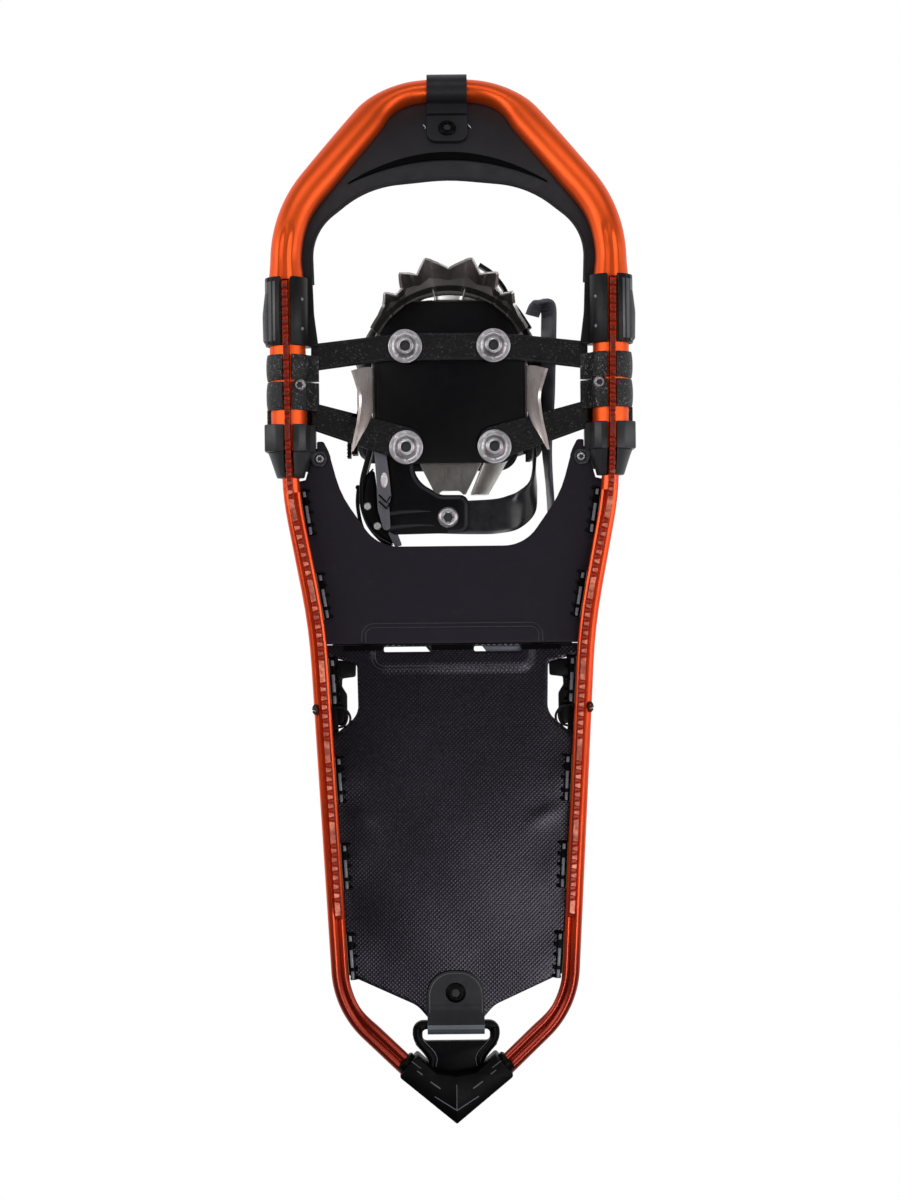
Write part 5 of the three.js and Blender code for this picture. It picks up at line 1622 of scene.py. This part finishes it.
def crown_at(angle):
    """The skirt's tip radius and height at any angle, straight between its corners."""
    turn = abs(angle)
    for a, b in zip(CROWN, CROWN[1:]):
        if turn <= b[0]:
            share = (turn - a[0]) / (b[0] - a[0])
            return mix(a[1], b[1], share), mix(a[2], b[2], share)
    return CROWN[-1][1:]


def round_crown(radius, angle, z):
    """A place on the skirt, at a radius and an angle in degrees from straight ahead."""
    turn = math.radians(angle)
    return (radius * math.sin(turn), CROWN_CENTRE_Y + radius * math.cos(turn), z)


def skirt():
    """The toothed skirt: flat facets between pressed folds, curling down from the plate."""
    top = STEEL_MIDDLE_Z
    curl = [(42, top, 0), (45, top - 0.2, 0.4), (48, top - 1.4, 0.8), (50.6, top - 4.0, 1)]
    curl += [(52.2, top - 7.4, 1), (52.9, top - 9.4, 0.4), (53.0, top - 9.9, 0)]
    grid = []
    for i in range(SKIRT_STEPS + 1):
        angle = mix(-SKIRT_HALF, SKIRT_HALF, i / SKIRT_STEPS)
        tip_r, tip_z = crown_at(angle)
        nearest = min(abs(abs(angle) - fold_at) for fold_at in FOLDS)
        fold = FOLD * max(0, 1 - nearest / FOLD_HALF)
        drop = [(mix(53.2, tip_r, out), mix(top - 10, tip_z, down), share) for out, down, share in SKIRT_DROP]
        row = []
        for radius, z, share in (*curl, *drop, (tip_r, tip_z, 0.8)):
            row.append(round_crown(radius + fold * share * 0.5, angle, z + fold * share * 0.4))
        grid.append(row)
    return shell(grid, SHEET_T)


PATCH_STEPS = 8


def patch(rows, thickness):
    """A smooth bent sheet through a coarse grid of points."""
    fine = [smooth_line(row, PATCH_STEPS) for row in rows]
    columns = [smooth_line(column, PATCH_STEPS) for column in zip(*fine)]
    return shell(list(zip(*columns)), thickness)


def blade():
    """A twisted blade that hangs from the crampon's side and ends in a point."""
    x, z = 46.6, STEEL_MIDDLE_Z
    rows = [
        [(x, 134.6, z), (50.4, 134, 18), (57.5, 130.5, 3)],
        [(x, 127, z), (49.8, 126, 19), (55.2, 123, 7.5)],
        [(x, 119, z), (49.2, 117.5, 20), (53.2, 114.5, 9)],
        [(x, 114, z), (48.9, 109.5, 18), (54.4, 101.5, 7)],
        [(x, 111, z), (49.2, 102.5, 15.5), (56.4, 91.5, 4)],
        [(x, 110, z - 0.4), (50.8, 97, 12), (58, 82.5, 1.6)],
    ]
    return patch(rows, SHEET_T)


def tongue():
    """The crampon's flat and its tongue, with a lip across the rear and a rounded notch at its end."""
    half = [(20, 175, 8), (45, 156, 16), (47, 138, 6), (47, 96, 4), (20.5, 96, 4), (18.5, 76, 1)]
    half += [(9.2, 57.6, 0.6), (7.6, 57.6, 0.6), (5.4, 59.8, 3)]
    flat = slab(outline(mirrored(half), 6), STEEL_Z, STEEL_Z + STEEL_T, edge=0.35)
    low = STEEL_Z - 0.3
    lip = tube([(-18, 77.5, STEEL_Z), (-16.4, 76.6, low), (16.4, 76.6, low), (18, 77.5, STEEL_Z)], 0.8, 12)
    return both(flat, lip)


def skirt_edge_highlights():
    """Thin lines along the skirt's folds and cut edges, in a lighter, less metallic steel: painted highlights
    where they catch the light.
    """
    top = STEEL_MIDDLE_Z
    fold = ((45, top - 1.6), (48, top - 2.7), (50.6, top - 5.3), (52.6, top - 9))
    widening = [0.2 + 0.014 * k for k in range(13)]
    solids = []
    for angle in (-10, 10):
        route = [round_crown(radius, angle * (1 + (radius - 45) * 0.012), z) for radius, z in fold]
        solids.append(tube(smooth_line(route, 4), widening, 8))
    rims = ((-11.8, -18, -26.8), (0, 5), (-29.6, -34.5, -39.4), (11.8, 18, 26.8), (29.6, 34.5, 39.4, 44))
    for angles in rims:
        route = []
        for angle in angles:
            radius, z = crown_at(angle)
            route.append(round_crown(radius + 0.2, angle, z - 0.8))
        solids.append(tube(route, 0.34, 8))
    return both(*solids)


# painted highlights along the skirt's folds and cut edges
piece("crampon_edge_highlights", skirt_edge_highlights(), BRIGHT_STEEL_AND_HIGHLIGHT_LOOK, "binding", slot="crampon_steel", sharp=60)
piece("base_plate", binding_plate(), BLACK_LOOK, "binding", "binding_plate")
piece("crampon_flat", both(tongue(), skirt()), CRAMPON_LOOK, "binding", "toe_crampon", sharp=9)
for side, sign in SIDES:
    solid = sided(sign, blade())
    piece(f"crampon_blade_{side}", solid, BLADE_LOOK, "binding", slot="crampon_steel", sharp=40)


def footbed():
    """The footbed with its raised chevrons and room for the bolts' nuts."""
    half = [(27, 177, 12), (46.2, 136, 30), (46.2, 100, 12), (38, 72, 12)]
    holes = [circle(x, y, NUT_ROOM, 32) for _, x, y in BOLTS]
    solids = [slab(outline(mirrored(half), 6), BED_Z, BED_TOP, holes, edge=0.9)]
    for k in range(6):
        y = 100 + 11 * k
        reach = 12 if 134 < y < 160 else 34
        route = [(-reach, y - 3, BED_TOP), (0, y, BED_TOP), (reach, y - 3, BED_TOP)]
        solids.append(tube(smooth_line(route, 6), 1.1, 10))
    return both(*solids)


piece("foot_plate", footbed(), BLACK_LOOK, "binding", "footbed")


WASHER = [(9.6, 0), (10.2, -0.2), (10.2, -1), (9.9, -1.3), (9.3, -1.35), (8.7, -1.15), (7.9, -1.2)]
WASHER += [(7.1, -1.4), (6.3, -2), (5.7, -3), (5.2, -3.9), (4.6, -4.4), (3.9, -4.5), (3.2, -4.1), (3, -2.2)]
WASHER_SIDES = 96
DIMPLES = 8
DIMPLE_R = 7.9
DIMPLE_HALF = 0.7
DIMPLE_DEPTH = 0.45


def washer(x, y):
    """A pressed washer with dimples round a raised collar, and the bolt's socket inside it."""
    rings = []
    for r, z in WASHER:
        ring = []
        for k in range(WASHER_SIDES):
            t = 2 * math.pi * k / WASHER_SIDES
            press = max(0, math.cos(DIMPLES * t)) ** 9 * math.exp(-(((r - DIMPLE_R) / DIMPLE_HALF) ** 2))
            ring.append((x + r * math.cos(t), y + r * math.sin(t), STRAP_Z - GAP + z + DIMPLE_DEPTH * press))
        rings.append(ring)
    return loft(rings)


def nut(x, y):
    """A domed nut on its flange, sunk in the footbed."""
    place = (x, y, BED_Z)
    dome = lathe([(4.9, 0), (4.8, 0.9), (4.2, 1.9), (3.0, 2.6), (1.4, 2.95), (0.2, 3.0)], 32, place)
    flange = lathe([(NUT_R, -0.1), (NUT_R, 0.6)], 40, place)
    return both(dome, slab(circle(x, y, 5.6, 6), BED_Z, BED_Z + 1.9, edge=0.3), flange)


for name, x, y in BOLTS:
    shank = tube([(x, y, STRAP_Z), (x, y, BED_Z + 0.4)], 2.9, 24)
    solid = both(washer(x, y), shank, nut(x, y))
    piece(f"bolt_{name}", solid, ZINC_LOOK, "binding", f"binding_bolt_{name}", sharp=50)
    # painted shade in the bolt's socket
    piece(f"bolt_socket_shade_{name}", recess_shade((x, y, STRAP_Z - 3.0), 2.95, 0.5), SOCKET_SHADE_LOOK, "binding")

# ------------------------------------------------------------ heel arm, brace and band
BAND_RIVET = (1.7, 44.0)


def heel_arm():
    """The arm that runs back under the foot from the right-hand bolts and turns across behind it."""
    corners = [(BOLT_X - 5, 96, 5), (38.5, 96, 5), (38.5, 74, 20), (43, 52, 14), (37, 33.8, 6)]
    corners += [(-10.6, 34.6, 5), (-10.6, 57.4, 5), (6, 57.6, 8), (22, 67, 16), (22, 90, 3)]
    return slab(outline(corners, 6), STEEL_Z, STEEL_Z + STEEL_T, edge=0.5)


def arm_ribs():
    """The arm's raised border, and two ribs that taper along it away from the buckle."""
    border = [(23.8, 88, 0), (23.8, 66, 16), (6.8, 55.6, 8), (-9, 55.6, 4.5), (-9, 35.9, 4.5), (2, 35.7, 0)]
    ribs = [line_at(outline(border, 6, closed=False), STEEL_Z + 0.5, 1.3, 10)]
    for y, end in ((47.2, 12), (38.8, 10)):
        route = [(37.6, y - 1, STEEL_Z), (30, y, STEEL_Z), (20, y + 0.5, STEEL_Z)]
        route.append((end, y + 0.4, STEEL_Z + 0.3))
        ribs.append(tube(route, [1.7, 1.6, 1.1, 0.3], 12))
    return both(*ribs)


def heel_brace():
    """The steel brace from the left-hand bolts to the arm's end, with its bright edge."""
    corners = [(-BOLT_X + 5, 94, 5), (-21.6, 80, 3), (-11.8, 57.2, 0.5), (-22.6, 57.2, 0.5), (-36, 80, 8)]
    corners += [(-36, 96, 5), (-BOLT_X, 96, 5)]
    z = STEEL_Z + 0.2
    bright = tube([(-21.9, 83, z), (-21.4, 79.4, z), (-12.6, 57.8, z)], 0.7, 10)
    return both(slab(outline(corners, 8), STEEL_Z, STEEL_Z + STEEL_T, edge=0.4), bright)


RUNG_PITCH = 3  # rows of a strap's grid from one raised rung to the next


def strap_depth(rows, columns, thickness, edge_share):
    """A strap's thickness all over its grid, thinner at its two edges."""
    depth = np.full((rows, columns), float(thickness))
    depth[:, (0, -1)] *= edge_share
    return depth


def across_strap(stations, thickness, columns, per_span=8, rib=0.0):
    """A strap through stations (centre, across), with raised rungs if it has a rib height."""
    centres = smooth_line([s[0] for s in stations], per_span)
    acrosses = smooth_line([s[1] for s in stations], per_span)
    spread = np.linspace(-1, 1, columns)
    grid = [[centre + across * s / 2 for s in spread] for centre, across in zip(centres, acrosses)]
    depth = strap_depth(len(grid), columns, thickness, 0.55)
    depth[RUNG_PITCH : len(grid) - 2 : RUNG_PITCH, 2:-2] += rib
    return shell(grid, depth)


def heel_band():
    """The moulded band that lies on the arm and turns up beside the boot."""
    z = STEEL_Z + STEEL_T + GAP + 1
    stations = [
        ((13, 44, z), (0, 19, 0)),
        ((-14, 44, z), (0, 20.5, 0)),
        ((-28, 44.6, z), (1, 21, 0)),
        ((-38, 47, z + 0.8), (6, 20, -2)),
        ((-46, 53, z + 4.5), (9.5, 13, -11)),
        ((-50.4, 63, z + 11), (4, 6, -18)),
        ((-51.4, 78, z + 18), (0, 5, -19)),
        ((-51.4, 92, z + 22), (0, 3, -19)),
    ]
    return across_strap(stations, 2.0, 15)


piece("arm_plate", heel_arm(), BLACK_LOOK, "binding", "heel_arm")
piece("arm_ribs", arm_ribs(), TAB_LOOK, "binding", slot="binding_plastic")
piece("brace_plate", heel_brace(), CRAMPON_LOOK, "binding", "heel_brace")
piece("arch_band", heel_band(), BAND_LOOK, "binding", "heel_band", sharp=60)
rivet_place = (*BAND_RIVET, STEEL_Z)
piece("arch_rivet", screw(rivet_place, 6.3, 2.2, 3.0, 1.5), ZINC_LOOK, "binding", "heel_band_rivet")
# painted shade in the band rivet's recess
piece("arch_rivet_socket_shade", recess_shade((*BAND_RIVET, STEEL_Z - 1.1), 2.7), SOCKET_SHADE_LOOK, "binding")

# ------------------------------------------------------------ harness, straps and buckles
WING_ROWS = [
    [168, 160, 152, 146, 142],
    [150, 146, 142, 138, 134],
    [132, 130, 126, 120, 114],
    [114, 112, 106, 98, 92],
    [98, 98, 92, 84, 80],
]
WING_PROFILE = [(47.6, 31), (52.2, 36), (55.2, 48), (54.4, 62), (48.5, 76)]
WING_BEND_Y = 140
WING_TAPER = 0.34
ARCH_HALF = 46.5
ARCH_SHARES = [0, 0.15, 0.3, 0.45, 0.6, 0.72, 0.85, 0.93, 1]


def wing():
    """One side of the toe harness, with a rolled edge, a foot and two spines."""
    rows = []
    for ys in WING_ROWS:
        rows.append([(x - max(0, y - WING_BEND_Y) * WING_TAPER, y, z) for y, (x, z) in zip(ys, WING_PROFILE)])
    foot = smooth_line([row[0] for row in rows], 6)
    edge = smooth_line([row[-1] for row in rows], 6)
    solids = [patch(rows, 2.6), tube(edge, 1.6, 12), tube(shifted(foot, 0, 0, 0.6), 1.7, 12)]
    for row in (1, 3):
        solids.append(tube(shifted(smooth_line(rows[row], 6), 1.3, 0, 0), 1.2, 10))
    return both(*solids)


def over_strap(y, lean, foot, crest, width):
    """A strap that arches over the boot from one wing to the other."""
    stations = []
    for share in [-s for s in ARCH_SHARES[:0:-1]] + ARCH_SHARES:
        height = foot + (crest - foot) * (1 - share**2) ** 0.62
        stations.append(((share * ARCH_HALF, y + lean * (1 - abs(share)), height), (0, width, 0)))
    return across_strap(stations, 2.2, 11, 5, 0.7)


HEEL_ROUTE = [(-50.6, 166.5, 40), (-53, 172, 40), (-56.8, 175.1, 40), (-60.4, 171.5, 40), (-60.6, 158, 40.5)]
HEEL_ROUTE += [(-59.6, 125, 42), (-58.8, 90, 44), (-61, 55, 47), (-62, 22, 50), (-55, -4, 52), (-44, -28, 54)]
HEEL_ROUTE += [(-26, -43, 55), (-4, -46, 56), (14, -34, 55), (28, -8, 52), (35.5, 22, 49)]
HEEL_COLUMNS = 11


def heel_strap():
    """The ladder strap from the left side of the toe, round the heel and into the buckle."""
    grid = []
    for p in smooth_line(HEEL_ROUTE, 10):
        lean = 2.6 * smoothstep(p[1], 60, 120) + 1.2
        across = np.array((-lean if p[0] > -55 else lean, 0, 7.3))
        grid.append([p + across * s for s in np.linspace(-1, 1, HEEL_COLUMNS)])
    depth = strap_depth(len(grid), HEEL_COLUMNS, 2.4, 0.6)
    depth[2 * RUNG_PITCH : len(grid) - 4 : RUNG_PITCH, 2:-2] += 0.8
    return shell(grid, depth)


BAND_COLUMNS = 9


def upright_band(route, height, thickness):
    """A band that stands on edge along a route."""
    run = smooth_line(route, 8)
    grid = [[p + np.array((0, 0, s * height / 2)) for s in np.linspace(-1, 1, BAND_COLUMNS)] for p in run]
    return shell(grid, strap_depth(len(grid), BAND_COLUMNS, thickness, 0.7))


def upright_pin(place, reach, radius, sides):
    """A pin that stands on end and reaches as far above a place as below it."""
    x, y, z = place
    return tube([(x, y, z - reach), (x, y, z + reach)], radius, sides)


BUCKLE_ROUTE = [(36.6, 27.5, 48), (43, 32, 47), (50, 41, 45.5), (53.6, 53, 43.5), (53.4, 66, 41.5)]
BUCKLE_ROUTE += [(50.4, 78, 40), (47.6, 88, 39)]
LEVER_ROUTE = [(56.2, 63, 42.3), (56.8, 52, 43.5), (54.2, 39, 45.5), (48, 29.5, 47)]


def heel_buckle():
    """The buckle's channel, with a rolled rim along both edges."""
    solids = [upright_band(BUCKLE_ROUTE, 19, 2.6)]
    for z in (-9, 9):
        solids.append(tube(shifted(smooth_line(BUCKLE_ROUTE, 8), 0, 0, z), 1.7, 12))
    return both(*solids)


def buckle_foot():
    """The buckle's lower cheek, a crescent that follows the channel."""
    edge = [(46.4, 75.6, 2), (51.4, 70, 6), (54.2, 60, 14), (54, 48, 14), (50.4, 38.4, 14), (43, 31.6, 14)]
    edge += [(34, 27.4, 2), (34.4, 33.4, 2), (40.4, 40, 14), (43.6, 49, 14), (44.6, 63, 10)]
    rim = [(46.8, 74), (50.8, 69.2, 6), (53.6, 60, 14), (53.2, 48.4, 14), (49.6, 39.2, 14), (42.6, 32.6, 14)]
    rim.append((36, 29))
    body = slab(outline(edge, 10), 33.6, 36.4, edge=1.1)
    return both(body, line_at(outline(rim, 10, closed=False), 33.6, 0.55))


def buckle_rivets():
    """The heads of the buckle's two rivets, under its lower rim."""
    return both(*[screw((x, y, 33.7), 2.3, 1.3, 0.9, 0.7) for x, y in ((50.4, 51.4), (44.6, 39.4))])


def ladder_end():
    """The end of the ladder strap under the buckle: an oval slot plate, a rung and an arrow tip."""
    upper = [(38.6, 84, 1), (45.8, 84, 1), (44.6, 66, 14), (43.6, 57, 4), (37, 52, 1), (35.8, 57, 3)]
    upper.append((36.6, 66, 14))
    lower = [(44.6, 62, 1), (44, 49, 8), (40.6, 36.6, 2), (36.4, 36.6, 2), (36.8, 47, 8), (38, 60, 1)]
    end = [(38.6, 36, 1), (34, 26.6, 1), (29.6, 27.4, 1), (32.8, 36, 1)]
    z = 24.7
    levels = ((upper, z - 0.9, z + 1.3), (lower, z, z + 1.5), (end, 31.2, 33.4))
    return both(*[slab(outline(shape, 10), low, high, edge=0.5) for shape, low, high in levels])


def ladder_groove_shadows():
    """Near-black lines across the ladder strap's end, pointed like its tip: the painted shade of its grooves.
    """
    z = 23.7
    routes = ([(43.2, y - 0.6, z), (38.6, y - 5.2, z), (36.2, y - 1.6, z)] for y in (58.4, 54.6))
    return both(*[tube(route, 0.5, 8) for route in routes])


def lever(route, height, thickness):
    """A lever along a route from its pivot to its grip."""
    band = upright_band(route, height, thickness)
    grip = upright_pin(route[-1], height / 2 - 1, 1.6, 12)
    pivot = upright_pin(route[0], height / 2 + 1, 1.5, 14)
    return both(band, grip, pivot)


def instep_buckle():
    """The instep buckle's two cheeks, its base and its bridge."""
    return both(
        rounded_box((56.9, 84, 50), (60.4, 108, 53), 0.8),
        rounded_box((56.9, 84, 63), (60.4, 108, 66), 0.8),
        rounded_box((56.9, 84, 50), (58.6, 108, 66), 0.5),
        rounded_box((57, 104.6, 50.6), (60.3, 107.8, 65.4), 0.8),
    )


def instep_lever():
    """The instep lever with its pivot and four grip ribs."""
    solids = [rounded_box((61, 82, 52.6), (63.2, 107, 63.4), 0.9), upright_pin((62.3, 107, 58), 6, 1.3, 16)]
    solids += [upright_pin((63.1, 83 + 2.2 * k, 58), 4, 0.5, 8) for k in range(4)]
    return both(*solids)


HARNESS_RIM = [(-19, 199.4, 52), (-26.6, 194.4, 54), (-33.2, 186.6, 55), (-37.4, 178.6, 55), (-43.4, 170, 54)]
HARNESS_RIM.append((-49.6, 160, 52))

for side, sign in SIDES:
    solid = sided(sign, wing())
    piece(f"harness_side_{side}", solid, BLACK_LOOK, "binding", f"harness_wing_{side}", sharp=50)
harness_rim = upright_band(HARNESS_RIM, 9, 2.6)
piece("harness_rim", harness_rim, BLACK_LOOK, "binding", slot="binding_plastic", sharp=50)
piece("strap_toe", over_strap(141, 4, 77.8, 99, 17), STRAP_LOOK, "binding", "toe_strap")
piece("strap_instep", over_strap(96, -6, 77.8, 118, 22), STRAP_LOOK, "binding", "instep_strap")
piece("strap_heel", heel_strap(), STRAP_LOOK, "binding", "heel_strap")
piece("buckle_heel", both(heel_buckle(), buckle_foot()), BLACK_LOOK, "binding", "heel_buckle", sharp=50)
piece("buckle_rivets", buckle_rivets(), BRIGHT_STEEL_AND_HIGHLIGHT_LOOK, "binding", slot="zinc_steel")
piece("ladder_end", ladder_end(), STRAP_LOOK, "binding", slot="grey_strap")
# painted shade of the ladder strap's grooves
piece("ladder_groove_shadows", ladder_groove_shadows(), SHADE_LOOK, "binding", slot="grey_strap")
OVAL_Y = 66.6
OVAL_STRETCH = 2.1
oval = screw((39.9, OVAL_Y, 23.9), 2.2, 0.9, 0.9, 0.5)
oval = moved(oval, lambda p: (p.x, OVAL_Y + (p.y - OVAL_Y) * OVAL_STRETCH, p.z))
piece("ladder_rivet", oval, BRIGHT_STEEL_AND_HIGHLIGHT_LOOK, "binding", slot="zinc_steel")
piece("lever_heel", lever(LEVER_ROUTE, 13, 2.0), BLACK_LOOK, "heel_lever", "heel_buckle_lever", sharp=50)
piece("buckle_instep", instep_buckle(), BLACK_LOOK, "binding", "instep_buckle")
piece("lever_instep", instep_lever(), BLACK_LOOK, "instep_lever", "instep_lever")

# ------------------------------------------------------------ floor, light and camera
EYE = (1.1, -5.8, -1278.0)
LENS = 65.0
ROLL = math.radians(0.58)
NEAREST, FARTHEST = 0.05, 20
FLOOR_HALF = 6
HORIZON = {"From Min": -0.35, "From Max": 0.2, "To Min": 0.04, "To Max": 1.0}


def floor():
    """A white floor under the shoe that can only be seen from above."""
    mesh = bpy.data.meshes.new("floor")
    corners = [(x * FLOOR_HALF, y * FLOOR_HALF, 0) for x, y in ((-1, -1), (1, -1), (1, 1), (-1, 1))]
    mesh.from_pydata(corners, [], [(0, 1, 2, 3)])
    look = bpy.data.materials.new("floor")
    look.use_nodes = True
    tree = look.node_tree
    shader = tree.nodes["Principled BSDF"]
    shader.inputs["Base Color"].default_value = rgb(0.8, 0.8, 0.8)
    shader.inputs["Roughness"].default_value = 0.9
    side = tree.nodes.new("ShaderNodeNewGeometry").outputs["Backfacing"]
    clear = tree.nodes.new("ShaderNodeBsdfTransparent").outputs[0]
    mixed = tree.nodes.new("ShaderNodeMixShader")
    tree.links.new(side, mixed.inputs[0])
    tree.links.new(shader.outputs[0], mixed.inputs[1])
    tree.links.new(clear, mixed.inputs[2])
    tree.links.new(mixed.outputs[0], tree.nodes["Material Output"].inputs[0])
    mesh.materials.append(look)
    made = bpy.data.objects.new("floor", mesh)
    bpy.context.scene.collection.objects.link(made)
    made.visible_shadow = False
    made.visible_diffuse = False
    made.visible_glossy = False


def sky():
    """White above the shoe, where the picture looks, and a dim room below it."""
    world = bpy.data.worlds.new("studio")
    bpy.context.scene.world = world
    world.use_nodes = True
    tree = world.node_tree
    direction = tree.nodes.new("ShaderNodeTexCoord").outputs["Generated"]
    parts = tree.nodes.new("ShaderNodeSeparateXYZ")
    tree.links.new(direction, parts.inputs[0])
    ramp = tree.nodes.new("ShaderNodeMapRange")
    ramp.interpolation_type = "SMOOTHSTEP"
    for key, value in HORIZON.items():
        ramp.inputs[key].default_value = value
    tree.links.new(parts.outputs["Z"], ramp.inputs["Value"])
    tree.links.new(ramp.outputs["Result"], tree.nodes["Background"].inputs["Color"])
    tree.nodes["Background"].inputs["Strength"].default_value = 1.0


def softbox(name, place, aim, size, energy):
    """A rectangular lamp at a place in metres that points at its aim."""
    lamp = bpy.data.lights.new(name, "AREA")
    lamp.shape = "RECTANGLE"
    lamp.size, lamp.size_y = size
    lamp.energy = energy
    made = bpy.data.objects.new(name, lamp)
    bpy.context.scene.collection.objects.link(made)
    made.location = place
    made.rotation_euler = (Vector(aim) - Vector(place)).to_track_quat("-Z", "Y").to_euler()


floor()
sky()
softbox("key", (1.0, 0.3, -0.75), (0, 0, 0.02), (0.5, 1.4), 8)
softbox("fill", (-1.0, 0.1, -0.75), (0, 0, 0.02), (0.5, 1.4), 7)
softbox("nose", (0.0, 1.25, -1.05), (0, 0.2, 0.04), (1.5, 0.35), 6)
softbox("tail", (-0.24, -0.47, -1.05), (-0.05, -0.2, 0.02), (0.25, 0.25), 3.3)

camera = bpy.data.cameras.new("camera")
camera.lens = LENS
camera.clip_start, camera.clip_end = NEAREST, FARTHEST
eye = bpy.data.objects.new("camera", camera)
bpy.context.scene.collection.objects.link(eye)
c, s = math.cos(ROLL), math.sin(ROLL)
turn = Matrix(((-c, -s, 0), (-s, c, 0), (0, 0, -1)))
eye.matrix_world = Matrix.Translation(Vector(EYE) * MM) @ turn.to_4x4()
bpy.context.scene.camera = eye
bpy.context.scene.view_settings.view_transform = "Standard"
bpy.context.scene.view_settings.look = "None"
